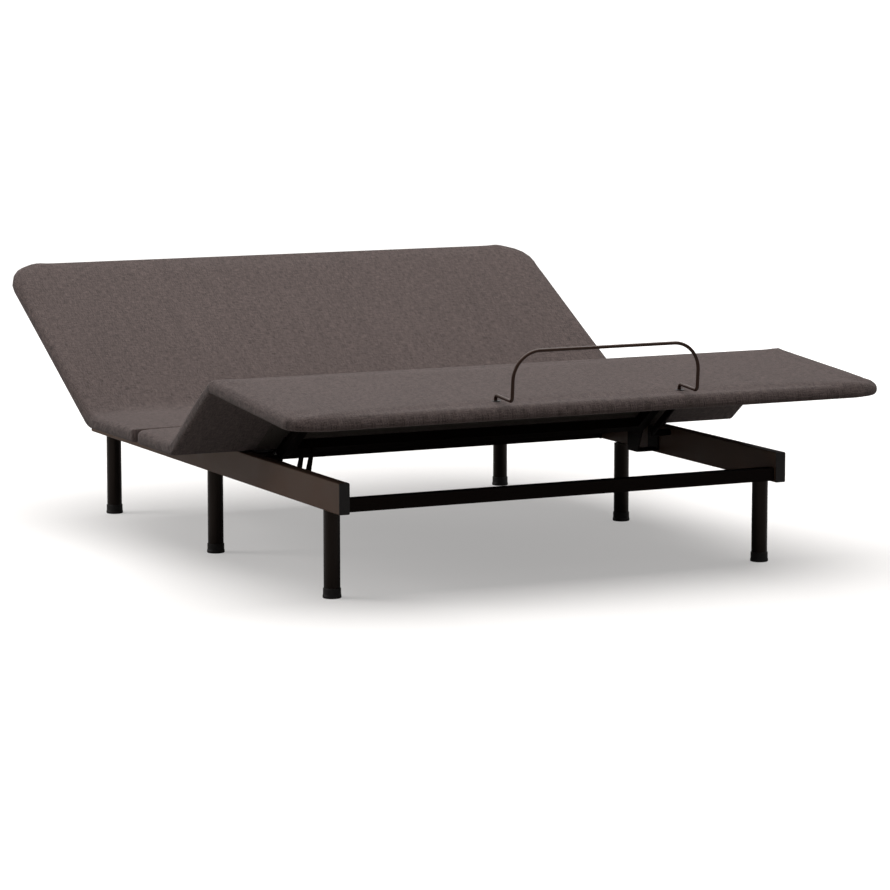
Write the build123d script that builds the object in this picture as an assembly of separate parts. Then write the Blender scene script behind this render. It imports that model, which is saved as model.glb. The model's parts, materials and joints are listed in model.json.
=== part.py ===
from build123d import *
import os
from math import atan2, cos, degrees, hypot, radians, sin, tan

# Adjustable bed base, queen size, head and knee raised. Millimetres, +X to the sleeper's right as seen
# from the foot end, +Y toward the head, +Z up, floor at Z = 0. Every piece is drawn with the deck flat,
# with Y = 0 at the foot end of the rails, and then turned into the raised rest position.

# ---- deck sizes -------------------------------------------------------------------------------------
DECK_WIDTH = 1524.0          # queen mattress, 60 in
HEAD_LENGTH = 706.0          # head hinge axis to the head end
SEAT_LENGTH = 564.0          # thigh hinge axis to the head hinge axis
THIGH_LENGTH = 297.0         # thigh hinge axis to the knee axis
CALF_LENGTH = 465.0          # knee axis to the foot end
THIGH_AXIS_Y = 552.0
SEAM_Y = 798.5               # gap between the two fixed seat boards
DECK_UNDERSIDE = 277.0
BOARD_THICK = 12.0
PAD_THICK = 20.0
BOARD_INSET = 6.0            # the pad wraps past the board by this much
END_CORNER = 95.0            # plan radius of the head and foot corners
SEAM_CORNER = 34.0
HINGE_CORNER = 12.0
PAD_EDGE = 15.0              # rounding of a pad's top edges
SEAM_GAP = 7.0
DUST_THICK = 1.2

# ---- raised position and travel (degrees) -----------------------------------------------------------
HEAD_REST = 28.5
THIGH_REST = 35.7
CALF_REST = 4.5              # the calf section dips toward the foot by this much
HEAD_FULL = 60.0
THIGH_FULL = 40.0

# ---- hinge axes -------------------------------------------------------------------------------------
AXIS_DROP = 12.0             # head and thigh hinge axes below the deck underside
KNEE_DROP = 10.0
PIN_R = 4.0
PIN_GAP = 0.06               # running clearance round a pin
PIN_HEAD_R = 6.5
PIN_HEAD = 2.0
PLATE = 4.0                  # hinge plate thickness
PLATE_GAP = 1.0
PLATE_EYE = 11.0             # plate radius round the head and thigh pins
KNEE_EYE = 8.6
HINGE_GAP = 1.0              # spare room between two bevels that close on each other

# ---- base frame -------------------------------------------------------------------------------------
RAIL_SPAN = 1160.0           # over the outer faces of the side rails
RAIL_WIDTH = 26.0
RAIL_HEIGHT = 72.0
RAIL_WALL = 1.5
RAIL_LENGTH = 1571.0
RAIL_BOTTOM = 201.0
RAIL_ROUND = 3.0
CAP_PLATE = 2.0
CAP_DEPTH = 12.0
CAP_GAP = 0.2
CAP_INSET = 0.3              # end plate inside the rail's outline
CROSSBAR = 30.0
CROSSBAR_SETBACK = 8.0
CROSSBAR_LIFT = 4.0
BEAM = 40.0
BEAM_WALL = 2.0
MID_BEAM_Y = 872.5
HEAD_BEAM_BACK = 135.0       # head beam's front face to the head end of the rails
BEAM_PLATE = 4.0
BEAM_PLATE_LONG = 60.0
BEAM_BOLT_R = 4.0
BEAM_BOLT_LONG = 14.0
BEAM_BOLT_PITCH = 34.0
BOLT_FLAT = 6.5              # half the width across a bolt head's flats
BOLT_HEAD = 5.3
BOLT_HOLE_GAP = 0.25
SEAT_TUBE = 25.0
SEAT_TUBE_WALL = 1.5
SEAT_TUBE_GAP = 6.0
HEADBOARD_HOLE_R = 5.5
HEADBOARD_HOLE_PITCH = 40.0
HEADBOARD_HOLE_BACK = 30.0

# ---- legs -------------------------------------------------------------------------------------------
LEG_R = 19.0
LEG_WALL = 1.5
LEG_FIRST_Y = 84.0
LEG_PITCH = 686.5
LEG_INSET = 19.0             # leg axis in from the rail's outer face
STUD_R = 4.0
STUD_UP = 13.0
STUD_DISC = 6.0
STUD_SUNK = 0.4              # disc below the leg's top edge
NUT_LONG = 36.0
NUT_HIGH = 7.0
CAP_R = 20.6
CAP_FLARE = 21.6
CAP_HIGH = 23.0
CAP_FLOOR = 3.0
LEG_CAP_GAP = 0.1

# ---- section frames ---------------------------------------------------------------------------------
TUBE = 25.0
TUBE_WALL = 1.5
OUTER_TUBE_X = 487.0         # outer face of the head and thigh side tubes
CALF_TUBE_X = 453.0          # outer face of the calf side tubes
TUBE_SETBACK = 12.0
KNEE_SETBACK = 10.0
END_SETBACK = 62.0           # the head frame stops this far inside the head end
FOOT_SETBACK = 150.0         # the calf frame stops this far inside the foot end
CLOTH_SETBACK = 42.0         # dust covers stop this far inside both ends
PLATE_LONG = 50.0
CROSS_INSET = 10.0           # first cross tube behind the side tubes' hinge ends

# ---- calf links -------------------------------------------------------------------------------------
LINK_DY = -40.0              # base pivot from the thigh axis
LINK_DZ = -5.0
LINK_X = 500.0               # inner face of a link
LINK_THICK = 6.0
LINK_HALF = 8.0
LINK_EYE = 9.0
LINK_STUD_R = 5.0
LINK_OPEN_GAP = 0.8          # clearance of the open pivot at the calf end
LINK_SIDE_GAP = 0.8
CLIP_R = 8.0
CLIP = 2.0

# ---- lift actuators ---------------------------------------------------------------------------------
CRANK_R = 56.0
HEAD_CRANK_BACK = 35.0       # degrees from straight down with the head flat
THIGH_CRANK_BACK = 25.0
CRANK_PLATE = 5.0
CRANK_EYE = 11.0
CRANK_PIN_R = 5.0
CRANK_GAP = 1.0
HEAD_ACTUATOR_X = 0.0
THIGH_ACTUATOR_X = -430.0
ACTUATOR_PIVOT_Z = 215.0
ACTUATOR_PIVOT_OUT = 18.0    # rear pivot in front of the beam that carries it
LUG_R = 12.0
LUG_HALF = 10.0
LUG_GAP = 1.0
EAR = 4.0
GEARBOX_START = 20.0
GEARBOX_LONG = 84.0
GEARBOX_HALF = 30.0
GEARBOX_UP = 26.0
GEARBOX_DOWN = 32.0
GEARBOX_ROUND = 7.0
MOTOR_R = 24.0
MOTOR_LONG = 78.0
MOTOR_SPIGOT_R = 17.0
MOTOR_CAP = 8.0
OUTER_TUBE_R = 16.0
ROD_R = 10.0
ROD_GAP = 0.4
ROD_INSIDE = 225.0           # length of rod behind the rod end, at most
ROD_START = 118.0
ROD_END_HALF = 9.0
ROD_END_LONG = 16.0
ROD_TO_TUBE = 12.0
SLOT_WALL = 7.0
HEAD_SLOT = (4.4, 8.6)       # play of the head crank pin along and across the rod
THIGH_SLOT = (1.4, 3.0)

# ---- electric parts ---------------------------------------------------------------------------------
CONTROL_SIZE = (190.0, 110.0, 34.0)
CONTROL_X = -190.0
SUPPLY_SIZE = (150.0, 70.0, 36.0)
SUPPLY_X = 210.0
ELECTRIC_GAP = 8.0           # in front of the rear seat tube
SHELL_WALL = 2.5
INLET_SIZE = (28.0, 12.0, 20.0)
INLET_SOCKET = (20.0, 8.0, 12.0)

# ---- mattress retainer ------------------------------------------------------------------------------
WIRE_R = 4.0
RETAINER_HALF = 236.5
RETAINER_STUB = 402.0        # stub from the knee axis along the calf section
RETAINER_RUN = 81.0
RETAINER_LIFT = 14.0         # wire axis above the pad
RETAINER_HIGH = 113.0
RETAINER_CORNER = 66.0
RETAINER_BEND = 9.0
STUB_DEPTH = 26.0
SOCKET_R = 8.0
SOCKET_FLANGE_R = 12.0
SOCKET_FLANGE = 1.6
SOCKET_GAP = 0.35

# ---- worked out from the above ----------------------------------------------------------------------
HEAD_AXIS_Y = THIGH_AXIS_Y + SEAT_LENGTH
KNEE_FLAT_Y = THIGH_AXIS_Y - THIGH_LENGTH
HEAD_END_Y = HEAD_AXIS_Y + HEAD_LENGTH
FOOT_END_Y = KNEE_FLAT_Y - CALF_LENGTH
AXIS_Z = DECK_UNDERSIDE - AXIS_DROP
KNEE_Z = DECK_UNDERSIDE - KNEE_DROP
BOARD_TOP = DECK_UNDERSIDE + BOARD_THICK
PAD_TOP = BOARD_TOP + PAD_THICK
TUBE_TOP = DECK_UNDERSIDE - DUST_THICK
TUBE_BOTTOM = TUBE_TOP - TUBE
RAIL_TOP = RAIL_BOTTOM + RAIL_HEIGHT
RAIL_IN = RAIL_SPAN / 2 - RAIL_WIDTH
HEAD_BEAM_Y = RAIL_LENGTH - HEAD_BEAM_BACK
LEG_X = RAIL_SPAN / 2 - LEG_INSET
LEG_ROWS = {"foot": LEG_FIRST_Y, "mid": LEG_FIRST_Y + LEG_PITCH, "head": LEG_FIRST_Y + 2 * LEG_PITCH}
BASE_PLATE_X = OUTER_TUBE_X + PLATE + PLATE_GAP
SEAT_TUBE_BACK_Y = HEAD_AXIS_Y - TUBE_SETBACK - PLATE_LONG - SEAT_TUBE_GAP - SEAT_TUBE / 2
ELECTRIC_BACK_Y = SEAT_TUBE_BACK_Y - SEAT_TUBE / 2 - ELECTRIC_GAP
CONTROL_AT = (CONTROL_X, ELECTRIC_BACK_Y - CONTROL_SIZE[1] / 2)
SUPPLY_AT = (SUPPLY_X, ELECTRIC_BACK_Y - INLET_SIZE[1] - SUPPLY_SIZE[1] / 2)


def bevel(height, full):
    """Room one side of a hinge needs so that an edge this far above the axis never meets its twin."""
    return height * tan(radians(full / 2)) + HINGE_GAP


HEAD_PAD_BACK = bevel(PAD_TOP - AXIS_Z, HEAD_FULL)
HEAD_BOARD_BACK = bevel(BOARD_TOP - AXIS_Z, HEAD_FULL)
THIGH_PAD_BACK = bevel(PAD_TOP - AXIS_Z, THIGH_FULL)
THIGH_BOARD_BACK = bevel(BOARD_TOP - AXIS_Z, THIGH_FULL)


# ---- plain shapes -----------------------------------------------------------------------------------
def block(x0, x1, y0, y1, z0, z1):
    """Box between two corners."""
    size = Box(abs(x1 - x0), abs(y1 - y0), abs(z1 - z0))
    return Pos((x0 + x1) / 2, (y0 + y1) / 2, (z0 + z1) / 2) * size


def bar_x(x0, x1, y, z, r):
    """Round bar along X."""
    return Pos((x0 + x1) / 2, y, z) * Rot(0, 90, 0) * Cylinder(r, abs(x1 - x0))


def tube_x(x0, x1, y0, y1, z0, z1, wall):
    """Rectangular tube along X, open at both ends."""
    inner = block(x0 - 1, x1 + 1, y0 + wall, y1 - wall, z0 + wall, z1 - wall)
    return block(x0, x1, y0, y1, z0, z1) - inner


def tube_y(x0, x1, y0, y1, z0, z1, wall):
    """Rectangular tube along Y, open at both ends."""
    inner = block(x0 + wall, x1 - wall, y0 - 1, y1 + 1, z0 + wall, z1 - wall)
    return block(x0, x1, y0, y1, z0, z1) - inner


def plate_yz(x0, x1, points):
    """Flat plate between two X planes with an outline of (y, z) points."""
    outline = Plane.YZ * make_face(Polyline(*points, close=True))
    return Pos(x0, 0, 0) * extrude(outline, amount=x1 - x0)


def link_plate(x0, x1, a, b, half, eye):
    """Plate with a round eye at a and b and straight sides between them."""
    run = hypot(b[0] - a[0], b[1] - a[1])
    ny, nz = -(b[1] - a[1]) / run * half, (b[0] - a[0]) / run * half
    corners = [(a[0] + ny, a[1] + nz), (b[0] + ny, b[1] + nz), (b[0] - ny, b[1] - nz), (a[0] - ny, a[1] - nz)]
    return plate_yz(x0, x1, corners) + bar_x(x0, x1, *a, eye) + bar_x(x0, x1, *b, eye)


def both_sides(make):
    """One solid on the right and its twin on the left."""
    right = make()
    return [mirror(right, Plane.YZ), right]


def group(solids):
    """Separate solids that share a node."""
    return Compound(children=list(solids))


# ---- turns and places -------------------------------------------------------------------------------
def turned(shape, y, z, angle):
    """Shape turned about the X direction through (y, z)."""
    return Pos(0, y, z) * Rot(angle, 0, 0) * Pos(0, -y, -z) * shape


def turned_point(point, centre, angle):
    """The (y, z) point turned about a centre, the same way as turned()."""
    a = radians(angle)
    dy, dz = point[0] - centre[0], point[1] - centre[1]
    return (centre[0] + dy * cos(a) - dz * sin(a), centre[1] + dy * sin(a) + dz * cos(a))


HEAD_AXIS = (HEAD_AXIS_Y, AXIS_Z)
THIGH_AXIS = (THIGH_AXIS_Y, AXIS_Z)
KNEE_FLAT = (KNEE_FLAT_Y, KNEE_Z)
KNEE_AXIS = turned_point(KNEE_FLAT, THIGH_AXIS, -THIGH_REST)


def place_head(shape):
    """Head section piece at rest."""
    return turned(shape, *HEAD_AXIS, HEAD_REST)


def place_thigh(shape):
    """Thigh section piece at rest."""
    return turned(shape, *THIGH_AXIS, -THIGH_REST)


def place_calf(shape):
    """Calf section piece at rest."""
    moved = Pos(0, KNEE_AXIS[0] - KNEE_FLAT[0], KNEE_AXIS[1] - KNEE_FLAT[1]) * shape
    return turned(moved, *KNEE_AXIS, CALF_REST)


def calf_point(point):
    """The (y, z) point of the flat calf section at rest."""
    moved = (point[0] + KNEE_AXIS[0] - KNEE_FLAT[0], point[1] + KNEE_AXIS[1] - KNEE_FLAT[1])
    return turned_point(moved, KNEE_AXIS, CALF_REST)


# ---- base frame -------------------------------------------------------------------------------------
def beam_bolt_places(y0):
    """Bolt centres (y, z) of one beam end."""
    mid = y0 + BEAM / 2
    z = RAIL_BOTTOM + BEAM + (RAIL_HEIGHT - BEAM) / 2
    return [(mid - BEAM_BOLT_PITCH / 2, z), (mid + BEAM_BOLT_PITCH / 2, z)]


def link_base():
    """Base pivot (y, z) of the calf links."""
    return (THIGH_AXIS_Y + LINK_DY, AXIS_Z + LINK_DZ)


def link_calf():
    """Calf pivot (y, z) of the links, flat: as far from the base pivot when flat as when raised."""
    by, bz = link_base()
    flat = (KNEE_FLAT[0] - by, KNEE_FLAT[1] - bz)
    rest = turned_point((KNEE_AXIS[0] - by, KNEE_AXIS[1] - bz), (0, 0), -CALF_REST)
    raised = (KNEE_AXIS[0] - by, KNEE_AXIS[1] - bz)
    constant = (raised[0] ** 2 + raised[1] ** 2 - flat[0] ** 2 - flat[1] ** 2) / 2
    dz = (-constant - (rest[0] - flat[0]) * LINK_DY) / (rest[1] - flat[1])
    return (KNEE_FLAT[0] + LINK_DY, KNEE_FLAT[1] + dz)


def headboard_places():
    """Headboard hole centres (y, z)."""
    last = RAIL_LENGTH - HEADBOARD_HOLE_BACK
    z = RAIL_BOTTOM + RAIL_HEIGHT / 2
    return [(last - HEADBOARD_HOLE_PITCH, z), (last, z)]


def side_rail():
    """Right side rail: closed steel tube with its holes."""
    out = RAIL_SPAN / 2
    y0, y1 = CAP_PLATE + CAP_GAP, RAIL_LENGTH - CAP_PLATE - CAP_GAP
    solid = block(RAIL_IN, out, y0, y1, RAIL_BOTTOM, RAIL_TOP)
    solid = fillet(solid.edges().filter_by(Axis.Y), RAIL_ROUND)
    w = RAIL_WALL
    solid -= block(RAIL_IN + w, out - w, y0 - 1, y1 + 1, RAIL_BOTTOM + w, RAIL_TOP - w)
    for y in LEG_ROWS.values():
        solid -= Pos(LEG_X, y, RAIL_BOTTOM) * Cylinder(STUD_R + BOLT_HOLE_GAP, 4 * w)
    for y, z in beam_bolt_places(MID_BEAM_Y) + beam_bolt_places(HEAD_BEAM_Y):
        solid -= bar_x(RAIL_IN - 1, RAIL_IN + 2 * w, y, z, BEAM_BOLT_R + BOLT_HOLE_GAP)
    for y, z in headboard_places():
        solid -= bar_x(RAIL_IN - 1, out + 1, y, z, HEADBOARD_HOLE_R)
    return solid


def rail_end_cap(y_face, inward):
    """Plastic plug in one end of the right rail."""
    out = RAIL_SPAN / 2
    inset = CAP_INSET
    plate = block(RAIL_IN + inset, out - inset, y_face, y_face + inward * CAP_PLATE,
                  RAIL_BOTTOM + inset, RAIL_TOP - inset)
    plate = fillet(plate.edges().filter_by(Axis.Y), RAIL_ROUND)
    w = RAIL_WALL + CAP_GAP
    plug = block(RAIL_IN + w, out - w, y_face, y_face + inward * (CAP_PLATE + CAP_DEPTH),
                 RAIL_BOTTOM + w, RAIL_TOP - w)
    return plate + plug


def foot_crossbar():
    """Low square tube between the rails at the foot end."""
    z0 = RAIL_BOTTOM + CROSSBAR_LIFT
    y0 = CROSSBAR_SETBACK
    return tube_x(-RAIL_IN, RAIL_IN, y0, y0 + CROSSBAR, z0, z0 + CROSSBAR, RAIL_WALL)


def cross_beam(y0):
    """Square beam across the rails with a bolting plate on each end."""
    inner = RAIL_IN - BEAM_PLATE
    beam = tube_x(-inner, inner, y0, y0 + BEAM, RAIL_BOTTOM, RAIL_BOTTOM + BEAM, BEAM_WALL)
    mid = y0 + BEAM / 2
    for side in (-1, 1):
        plate = block(side * inner, side * RAIL_IN, mid - BEAM_PLATE_LONG / 2, mid + BEAM_PLATE_LONG / 2,
                      RAIL_BOTTOM, RAIL_TOP - 2 * RAIL_ROUND)
        for y, z in beam_bolt_places(y0):
            plate -= bar_x(side * (inner - 1), side * (RAIL_IN + 1), y, z, BEAM_BOLT_R + BOLT_HOLE_GAP)
        beam += plate
    return beam


def beam_bolts():
    """Hex bolts through the beam plates into the rails."""
    bolts = []
    for y, z in beam_bolt_places(MID_BEAM_Y) + beam_bolt_places(HEAD_BEAM_Y):
        face = RAIL_IN - BEAM_PLATE
        shank = bar_x(face - 0.5, face + BEAM_BOLT_LONG, y, z, BEAM_BOLT_R)
        hexagon = extrude(RegularPolygon(BOLT_FLAT, 6, major_radius=False), amount=BOLT_HEAD)
        head = Pos(face - BOLT_HEAD, y, z) * Rot(0, 90, 0) * hexagon
        bolts += both_sides(lambda: shank + head)
    return group(bolts)


def seat_cross_tubes():
    """Two tubes under the fixed seat boards."""
    z0 = DECK_UNDERSIDE - SEAT_TUBE
    half = SEAT_TUBE / 2
    rows = (SEAM_Y, SEAT_TUBE_BACK_Y)
    return group(tube_x(-RAIL_IN, RAIL_IN, y - half, y + half, z0, DECK_UNDERSIDE, SEAT_TUBE_WALL) for y in rows)


def deck_strips():
    """Felt strips between the rails and the fixed seat boards."""
    y0 = THIGH_AXIS_Y + THIGH_BOARD_BACK + 10
    y1 = HEAD_AXIS_Y - HEAD_BOARD_BACK - 10
    return group(both_sides(lambda: block(RAIL_IN + 1, RAIL_SPAN / 2 - 1, y0, y1, RAIL_TOP, DECK_UNDERSIDE)))


# ---- legs -------------------------------------------------------------------------------------------
def leg_tube(x, y):
    """Round steel leg."""
    high = RAIL_BOTTOM - CAP_FLOOR
    tube = Cylinder(LEG_R, high) - Cylinder(LEG_R - LEG_WALL, high + 2)
    return Pos(x, y, CAP_FLOOR + high / 2) * tube


def leg_stud(x, y):
    """Disc in the top of a leg with the threaded stud that screws into the rail."""
    disc = Cylinder(LEG_R - LEG_WALL, STUD_DISC, align=(Align.CENTER, Align.CENTER, Align.MAX))
    stud = Cylinder(STUD_R, STUD_UP, align=(Align.CENTER, Align.CENTER, Align.MIN))
    return Pos(x, y, RAIL_BOTTOM - STUD_SUNK) * (disc + stud)


def leg_nut(x, y):
    """Nut plate inside the rail over a leg."""
    side = 1 if x > 0 else -1
    wall = RAIL_WALL + CAP_GAP
    z0 = RAIL_BOTTOM + RAIL_WALL
    plate = block(side * (RAIL_IN + wall), side * (RAIL_SPAN / 2 - wall), y - NUT_LONG / 2, y + NUT_LONG / 2,
                  z0, z0 + NUT_HIGH)
    return plate - Pos(x, y, z0) * Cylinder(STUD_R, 4 * NUT_HIGH)


def leg_cap(x, y):
    """Plastic foot cap, slightly flared at the floor."""
    r, bore = CAP_R, LEG_R + LEG_CAP_GAP
    outline = [(0, 0), (CAP_FLARE - 1.2, 0), (CAP_FLARE, 1.2), (CAP_FLARE, 5), (r, 9), (r, CAP_HIGH - 0.8),
               (r - 0.8, CAP_HIGH), (bore, CAP_HIGH), (bore, CAP_FLOOR), (0, CAP_FLOOR)]
    face = Plane.XZ * make_face(Polyline(*outline, close=True))
    return Pos(x, y, 0) * revolve(face, Axis.Z)


# ---- deck boards, pads and dust covers --------------------------------------------------------------
def deck_plan(half, y0, y1, low_corner, high_corner):
    """Deck outline with one corner radius at the low-Y end and one at the high-Y end."""
    face = Pos(0, (y0 + y1) / 2) * Rectangle(2 * half, y1 - y0)
    corners = face.vertices().sort_by(Axis.Y)
    face = fillet(corners[:2], low_corner)
    corners = [v for v in face.vertices() if abs(v.Y - y1) < 0.01]
    return fillet(corners, high_corner)


def deck_board(y0, y1, low_corner, high_corner):
    """Plywood board of one section."""
    plan = deck_plan(DECK_WIDTH / 2 - BOARD_INSET, y0, y1, low_corner, high_corner)
    return Pos(0, 0, DECK_UNDERSIDE) * extrude(plan, amount=BOARD_THICK)


def deck_pad(y0, y1, low_corner, high_corner):
    """Foam pad with its fabric on one section, top edges rounded."""
    plan = deck_plan(DECK_WIDTH / 2, y0, y1, low_corner, high_corner)
    pad = Pos(0, 0, BOARD_TOP) * extrude(plan, amount=PAD_THICK)
    return fillet(pad.faces().sort_by(Axis.Z)[-1].edges(), PAD_EDGE)


def dust_cover(y0, y1):
    """Black cloth stapled under a section between the rails."""
    half = RAIL_IN - 6
    return block(-half, half, y0, y1, TUBE_TOP, DECK_UNDERSIDE)


# ---- section frames and hinges ----------------------------------------------------------------------
def hinge_plate(x0, axis, toward, eye, long, bore, setback):
    """Plate along a side tube that carries a hinge eye. toward is the tube's direction from the axis."""
    y_far = axis[0] + toward * (setback + long)
    top = min(TUBE_TOP, axis[1] + eye)
    corners = [(axis[0], axis[1] - eye), (y_far, TUBE_BOTTOM), (y_far, TUBE_TOP), (axis[0], top)]
    plate = plate_yz(x0, x0 + PLATE, corners) + bar_x(x0, x0 + PLATE, *axis, eye)
    return plate - bar_x(x0 - 1, x0 + PLATE + 1, *axis, bore)


def head_side_tubes():
    """Side tubes of the head section, hinge plates welded on."""
    def make():
        y0, y1 = HEAD_AXIS_Y + TUBE_SETBACK, HEAD_END_Y - END_SETBACK
        tube = tube_y(OUTER_TUBE_X - TUBE, OUTER_TUBE_X, y0, y1, TUBE_BOTTOM, TUBE_TOP, TUBE_WALL)
        return tube + hinge_plate(OUTER_TUBE_X, HEAD_AXIS, 1, PLATE_EYE, PLATE_LONG, PIN_R, TUBE_SETBACK)
    return both_sides(make)


def thigh_side_tubes():
    """Side tubes of the thigh section with plates for the thigh and knee pins."""
    def make():
        y0, y1 = KNEE_FLAT_Y + KNEE_SETBACK, THIGH_AXIS_Y - TUBE_SETBACK
        tube = tube_y(OUTER_TUBE_X - TUBE, OUTER_TUBE_X, y0, y1, TUBE_BOTTOM, TUBE_TOP, TUBE_WALL)
        tube += hinge_plate(OUTER_TUBE_X, THIGH_AXIS, -1, PLATE_EYE, PLATE_LONG, PIN_R, TUBE_SETBACK)
        knee_x = OUTER_TUBE_X - TUBE - PLATE
        return tube + hinge_plate(knee_x, KNEE_FLAT, 1, KNEE_EYE, PLATE_LONG, PIN_R, KNEE_SETBACK)
    return both_sides(make)


def calf_side_tubes():
    """Side tubes of the calf section with knee plates and link studs."""
    def make():
        y0, y1 = FOOT_END_Y + FOOT_SETBACK, KNEE_FLAT_Y - KNEE_SETBACK
        tube = tube_y(CALF_TUBE_X - TUBE, CALF_TUBE_X, y0, y1, TUBE_BOTTOM, TUBE_TOP, TUBE_WALL)
        bore = PIN_R + PIN_GAP
        tube += hinge_plate(CALF_TUBE_X, KNEE_FLAT, -1, KNEE_EYE, PLATE_LONG, bore, KNEE_SETBACK)
        stud_end = LINK_X + LINK_THICK + LINK_SIDE_GAP
        tube += bar_x(CALF_TUBE_X, stud_end + CLIP, *link_calf(), LINK_STUD_R)
        tube += bar_x(stud_end, stud_end + CLIP, *link_calf(), CLIP_R)
        return tube + bar_x(CALF_TUBE_X, LINK_X - LINK_SIDE_GAP, *link_calf(), CLIP_R)
    return both_sides(make)


def cross_tubes(half, starts):
    """Cross tubes of a section; each start is the tube's low-Y face."""
    return [tube_x(-half, half, y, y + TUBE, TUBE_BOTTOM, TUBE_TOP, TUBE_WALL) for y in starts]


def hinge_pin(x0, x1, axis):
    """Riveted pin with a head outside each plate."""
    pin = bar_x(x0 - PIN_HEAD, x1 + PIN_HEAD, *axis, PIN_R)
    pin += bar_x(x0 - PIN_HEAD, x0 - LINK_SIDE_GAP / 2, *axis, PIN_HEAD_R)
    return pin + bar_x(x1 + LINK_SIDE_GAP / 2, x1 + PIN_HEAD, *axis, PIN_HEAD_R)


def section_pins(axis):
    """Pins of the head or thigh hinge, left and right."""
    return both_sides(lambda: hinge_pin(OUTER_TUBE_X, BASE_PLATE_X + PLATE, axis))


def knee_pins():
    """Knee pins, left and right."""
    return both_sides(lambda: hinge_pin(CALF_TUBE_X, OUTER_TUBE_X - TUBE, KNEE_FLAT))


def base_bracket(axis, toward):
    """Hinge bracket on the right rail. toward is the direction from the axis to the bracket's foot."""
    low = RAIL_BOTTOM + 2 * RAIL_ROUND
    near = axis[0] + toward * TUBE_SETBACK
    far = near + toward * PLATE_LONG
    foot = block(RAIL_IN - PLATE, RAIL_IN, near, far, low, RAIL_TOP - 2 * RAIL_ROUND)
    floor = block(BASE_PLATE_X, RAIL_IN, near, far, low, low + PLATE)
    corners = [(axis[0] - toward * PLATE_EYE * 0.7, axis[1] - PLATE_EYE * 0.7), (near, low), (far, low),
               (far, RAIL_TOP - 20), (axis[0], axis[1] + PLATE_EYE)]
    cheek = plate_yz(BASE_PLATE_X, BASE_PLATE_X + PLATE, corners)
    cheek += bar_x(BASE_PLATE_X, BASE_PLATE_X + PLATE, *axis, PLATE_EYE)
    bracket = foot + floor + cheek
    return bracket - bar_x(BASE_PLATE_X - 1, BASE_PLATE_X + PLATE + 1, *axis, PIN_R + PIN_GAP)


def hinge_brackets():
    """Four brackets that carry the head and thigh hinges."""
    return group(both_sides(lambda: base_bracket(HEAD_AXIS, -1)) + both_sides(lambda: base_bracket(THIGH_AXIS, 1)))


# ---- calf links -------------------------------------------------------------------------------------
def link_studs():
    """Shoulder studs on the rails that carry the calf links."""
    def make():
        end = LINK_X - LINK_SIDE_GAP
        stud = bar_x(end - CLIP, RAIL_IN, *link_base(), LINK_STUD_R)
        stud += bar_x(end - CLIP, end, *link_base(), CLIP_R)
        return stud + bar_x(LINK_X + LINK_THICK + LINK_SIDE_GAP, RAIL_IN, *link_base(), CLIP_R)
    return group(both_sides(make))


def calf_links():
    """Pair of links that hold the calf section's slope; placed by the two raised pivots."""
    top = calf_point(link_calf())

    def make():
        link = link_plate(LINK_X, LINK_X + LINK_THICK, link_base(), top, LINK_HALF, LINK_EYE)
        link -= bar_x(LINK_X - 1, LINK_X + LINK_THICK + 1, *link_base(), LINK_STUD_R + PIN_GAP)
        return link - bar_x(LINK_X - 1, LINK_X + LINK_THICK + 1, *top, LINK_STUD_R + LINK_OPEN_GAP)
    return group(both_sides(make))


# ---- cranks and actuators ---------------------------------------------------------------------------
def crank_pin(axis, toward, back, lift):
    """Crank pin (y, z) with the section lifted by lift degrees; toward is the way it moves."""
    a = radians(lift - back)
    return (axis[0] + toward * CRANK_R * sin(a), axis[1] - CRANK_R * cos(a))


def crank(x, axis, toward, back, tube_y0):
    """Two lever plates under a cross tube with a pin across them, drawn flat."""
    pin = crank_pin(axis, toward, back, 0)
    inner = ROD_END_HALF + CRANK_GAP
    outer = inner + CRANK_PLATE
    mid = (tube_y0 + TUBE / 2, TUBE_BOTTOM)
    run = hypot(pin[0] - mid[0], pin[1] - mid[1])
    ny, nz = -(pin[1] - mid[1]) / run * CRANK_EYE, (pin[0] - mid[0]) / run * CRANK_EYE
    ends = sorted([(pin[0] + ny, pin[1] + nz), (pin[0] - ny, pin[1] - nz)])
    corners = [(tube_y0, TUBE_BOTTOM), ends[0], ends[1], (tube_y0 + TUBE, TUBE_BOTTOM)]
    lever = bar_x(x - outer - PIN_HEAD, x + outer + PIN_HEAD, *pin, CRANK_PIN_R)
    for x0 in (x - outer, x + inner):
        lever += plate_yz(x0, x0 + CRANK_PLATE, corners) + bar_x(x0, x0 + CRANK_PLATE, *pin, CRANK_EYE)
    return lever


def actuator_bracket(x, beam_face):
    """Clevis on a beam's front face with its cross pin."""
    y = beam_face - ACTUATOR_PIVOT_OUT
    z = ACTUATOR_PIVOT_Z
    inner = LUG_HALF + LUG_GAP
    outer = inner + EAR
    base = block(x - outer - 10, x + outer + 10, beam_face - EAR, beam_face, RAIL_BOTTOM, RAIL_BOTTOM + BEAM)
    clevis = base + bar_x(x - outer - PIN_HEAD, x + outer + PIN_HEAD, y, z, CRANK_PIN_R)
    for x0 in (x - outer, x + inner):
        clevis += block(x0, x0 + EAR, y, beam_face - EAR, z - LUG_R, z + LUG_R) + bar_x(x0, x0 + EAR, y, z, LUG_R)
    return clevis


def actuator_frame(x, pivot, pin):
    """Turns a piece drawn along +Y from the origin onto the line from the rear pivot to the crank pin."""
    dy, dz = pin[0] - pivot[0], pin[1] - pivot[1]
    if dy > 0:
        return Pos(x, *pivot) * Rot(degrees(atan2(dz, dy)), 0, 0)
    return Pos(x, *pivot) * Rot(degrees(atan2(-dz, -dy)), 0, 0) * Rot(0, 0, 180)


def along_y(y0, y1, r):
    """Round bar along +Y through the origin."""
    return Pos(0, (y0 + y1) / 2, 0) * Rot(90, 0, 0) * Cylinder(r, y1 - y0)


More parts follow.
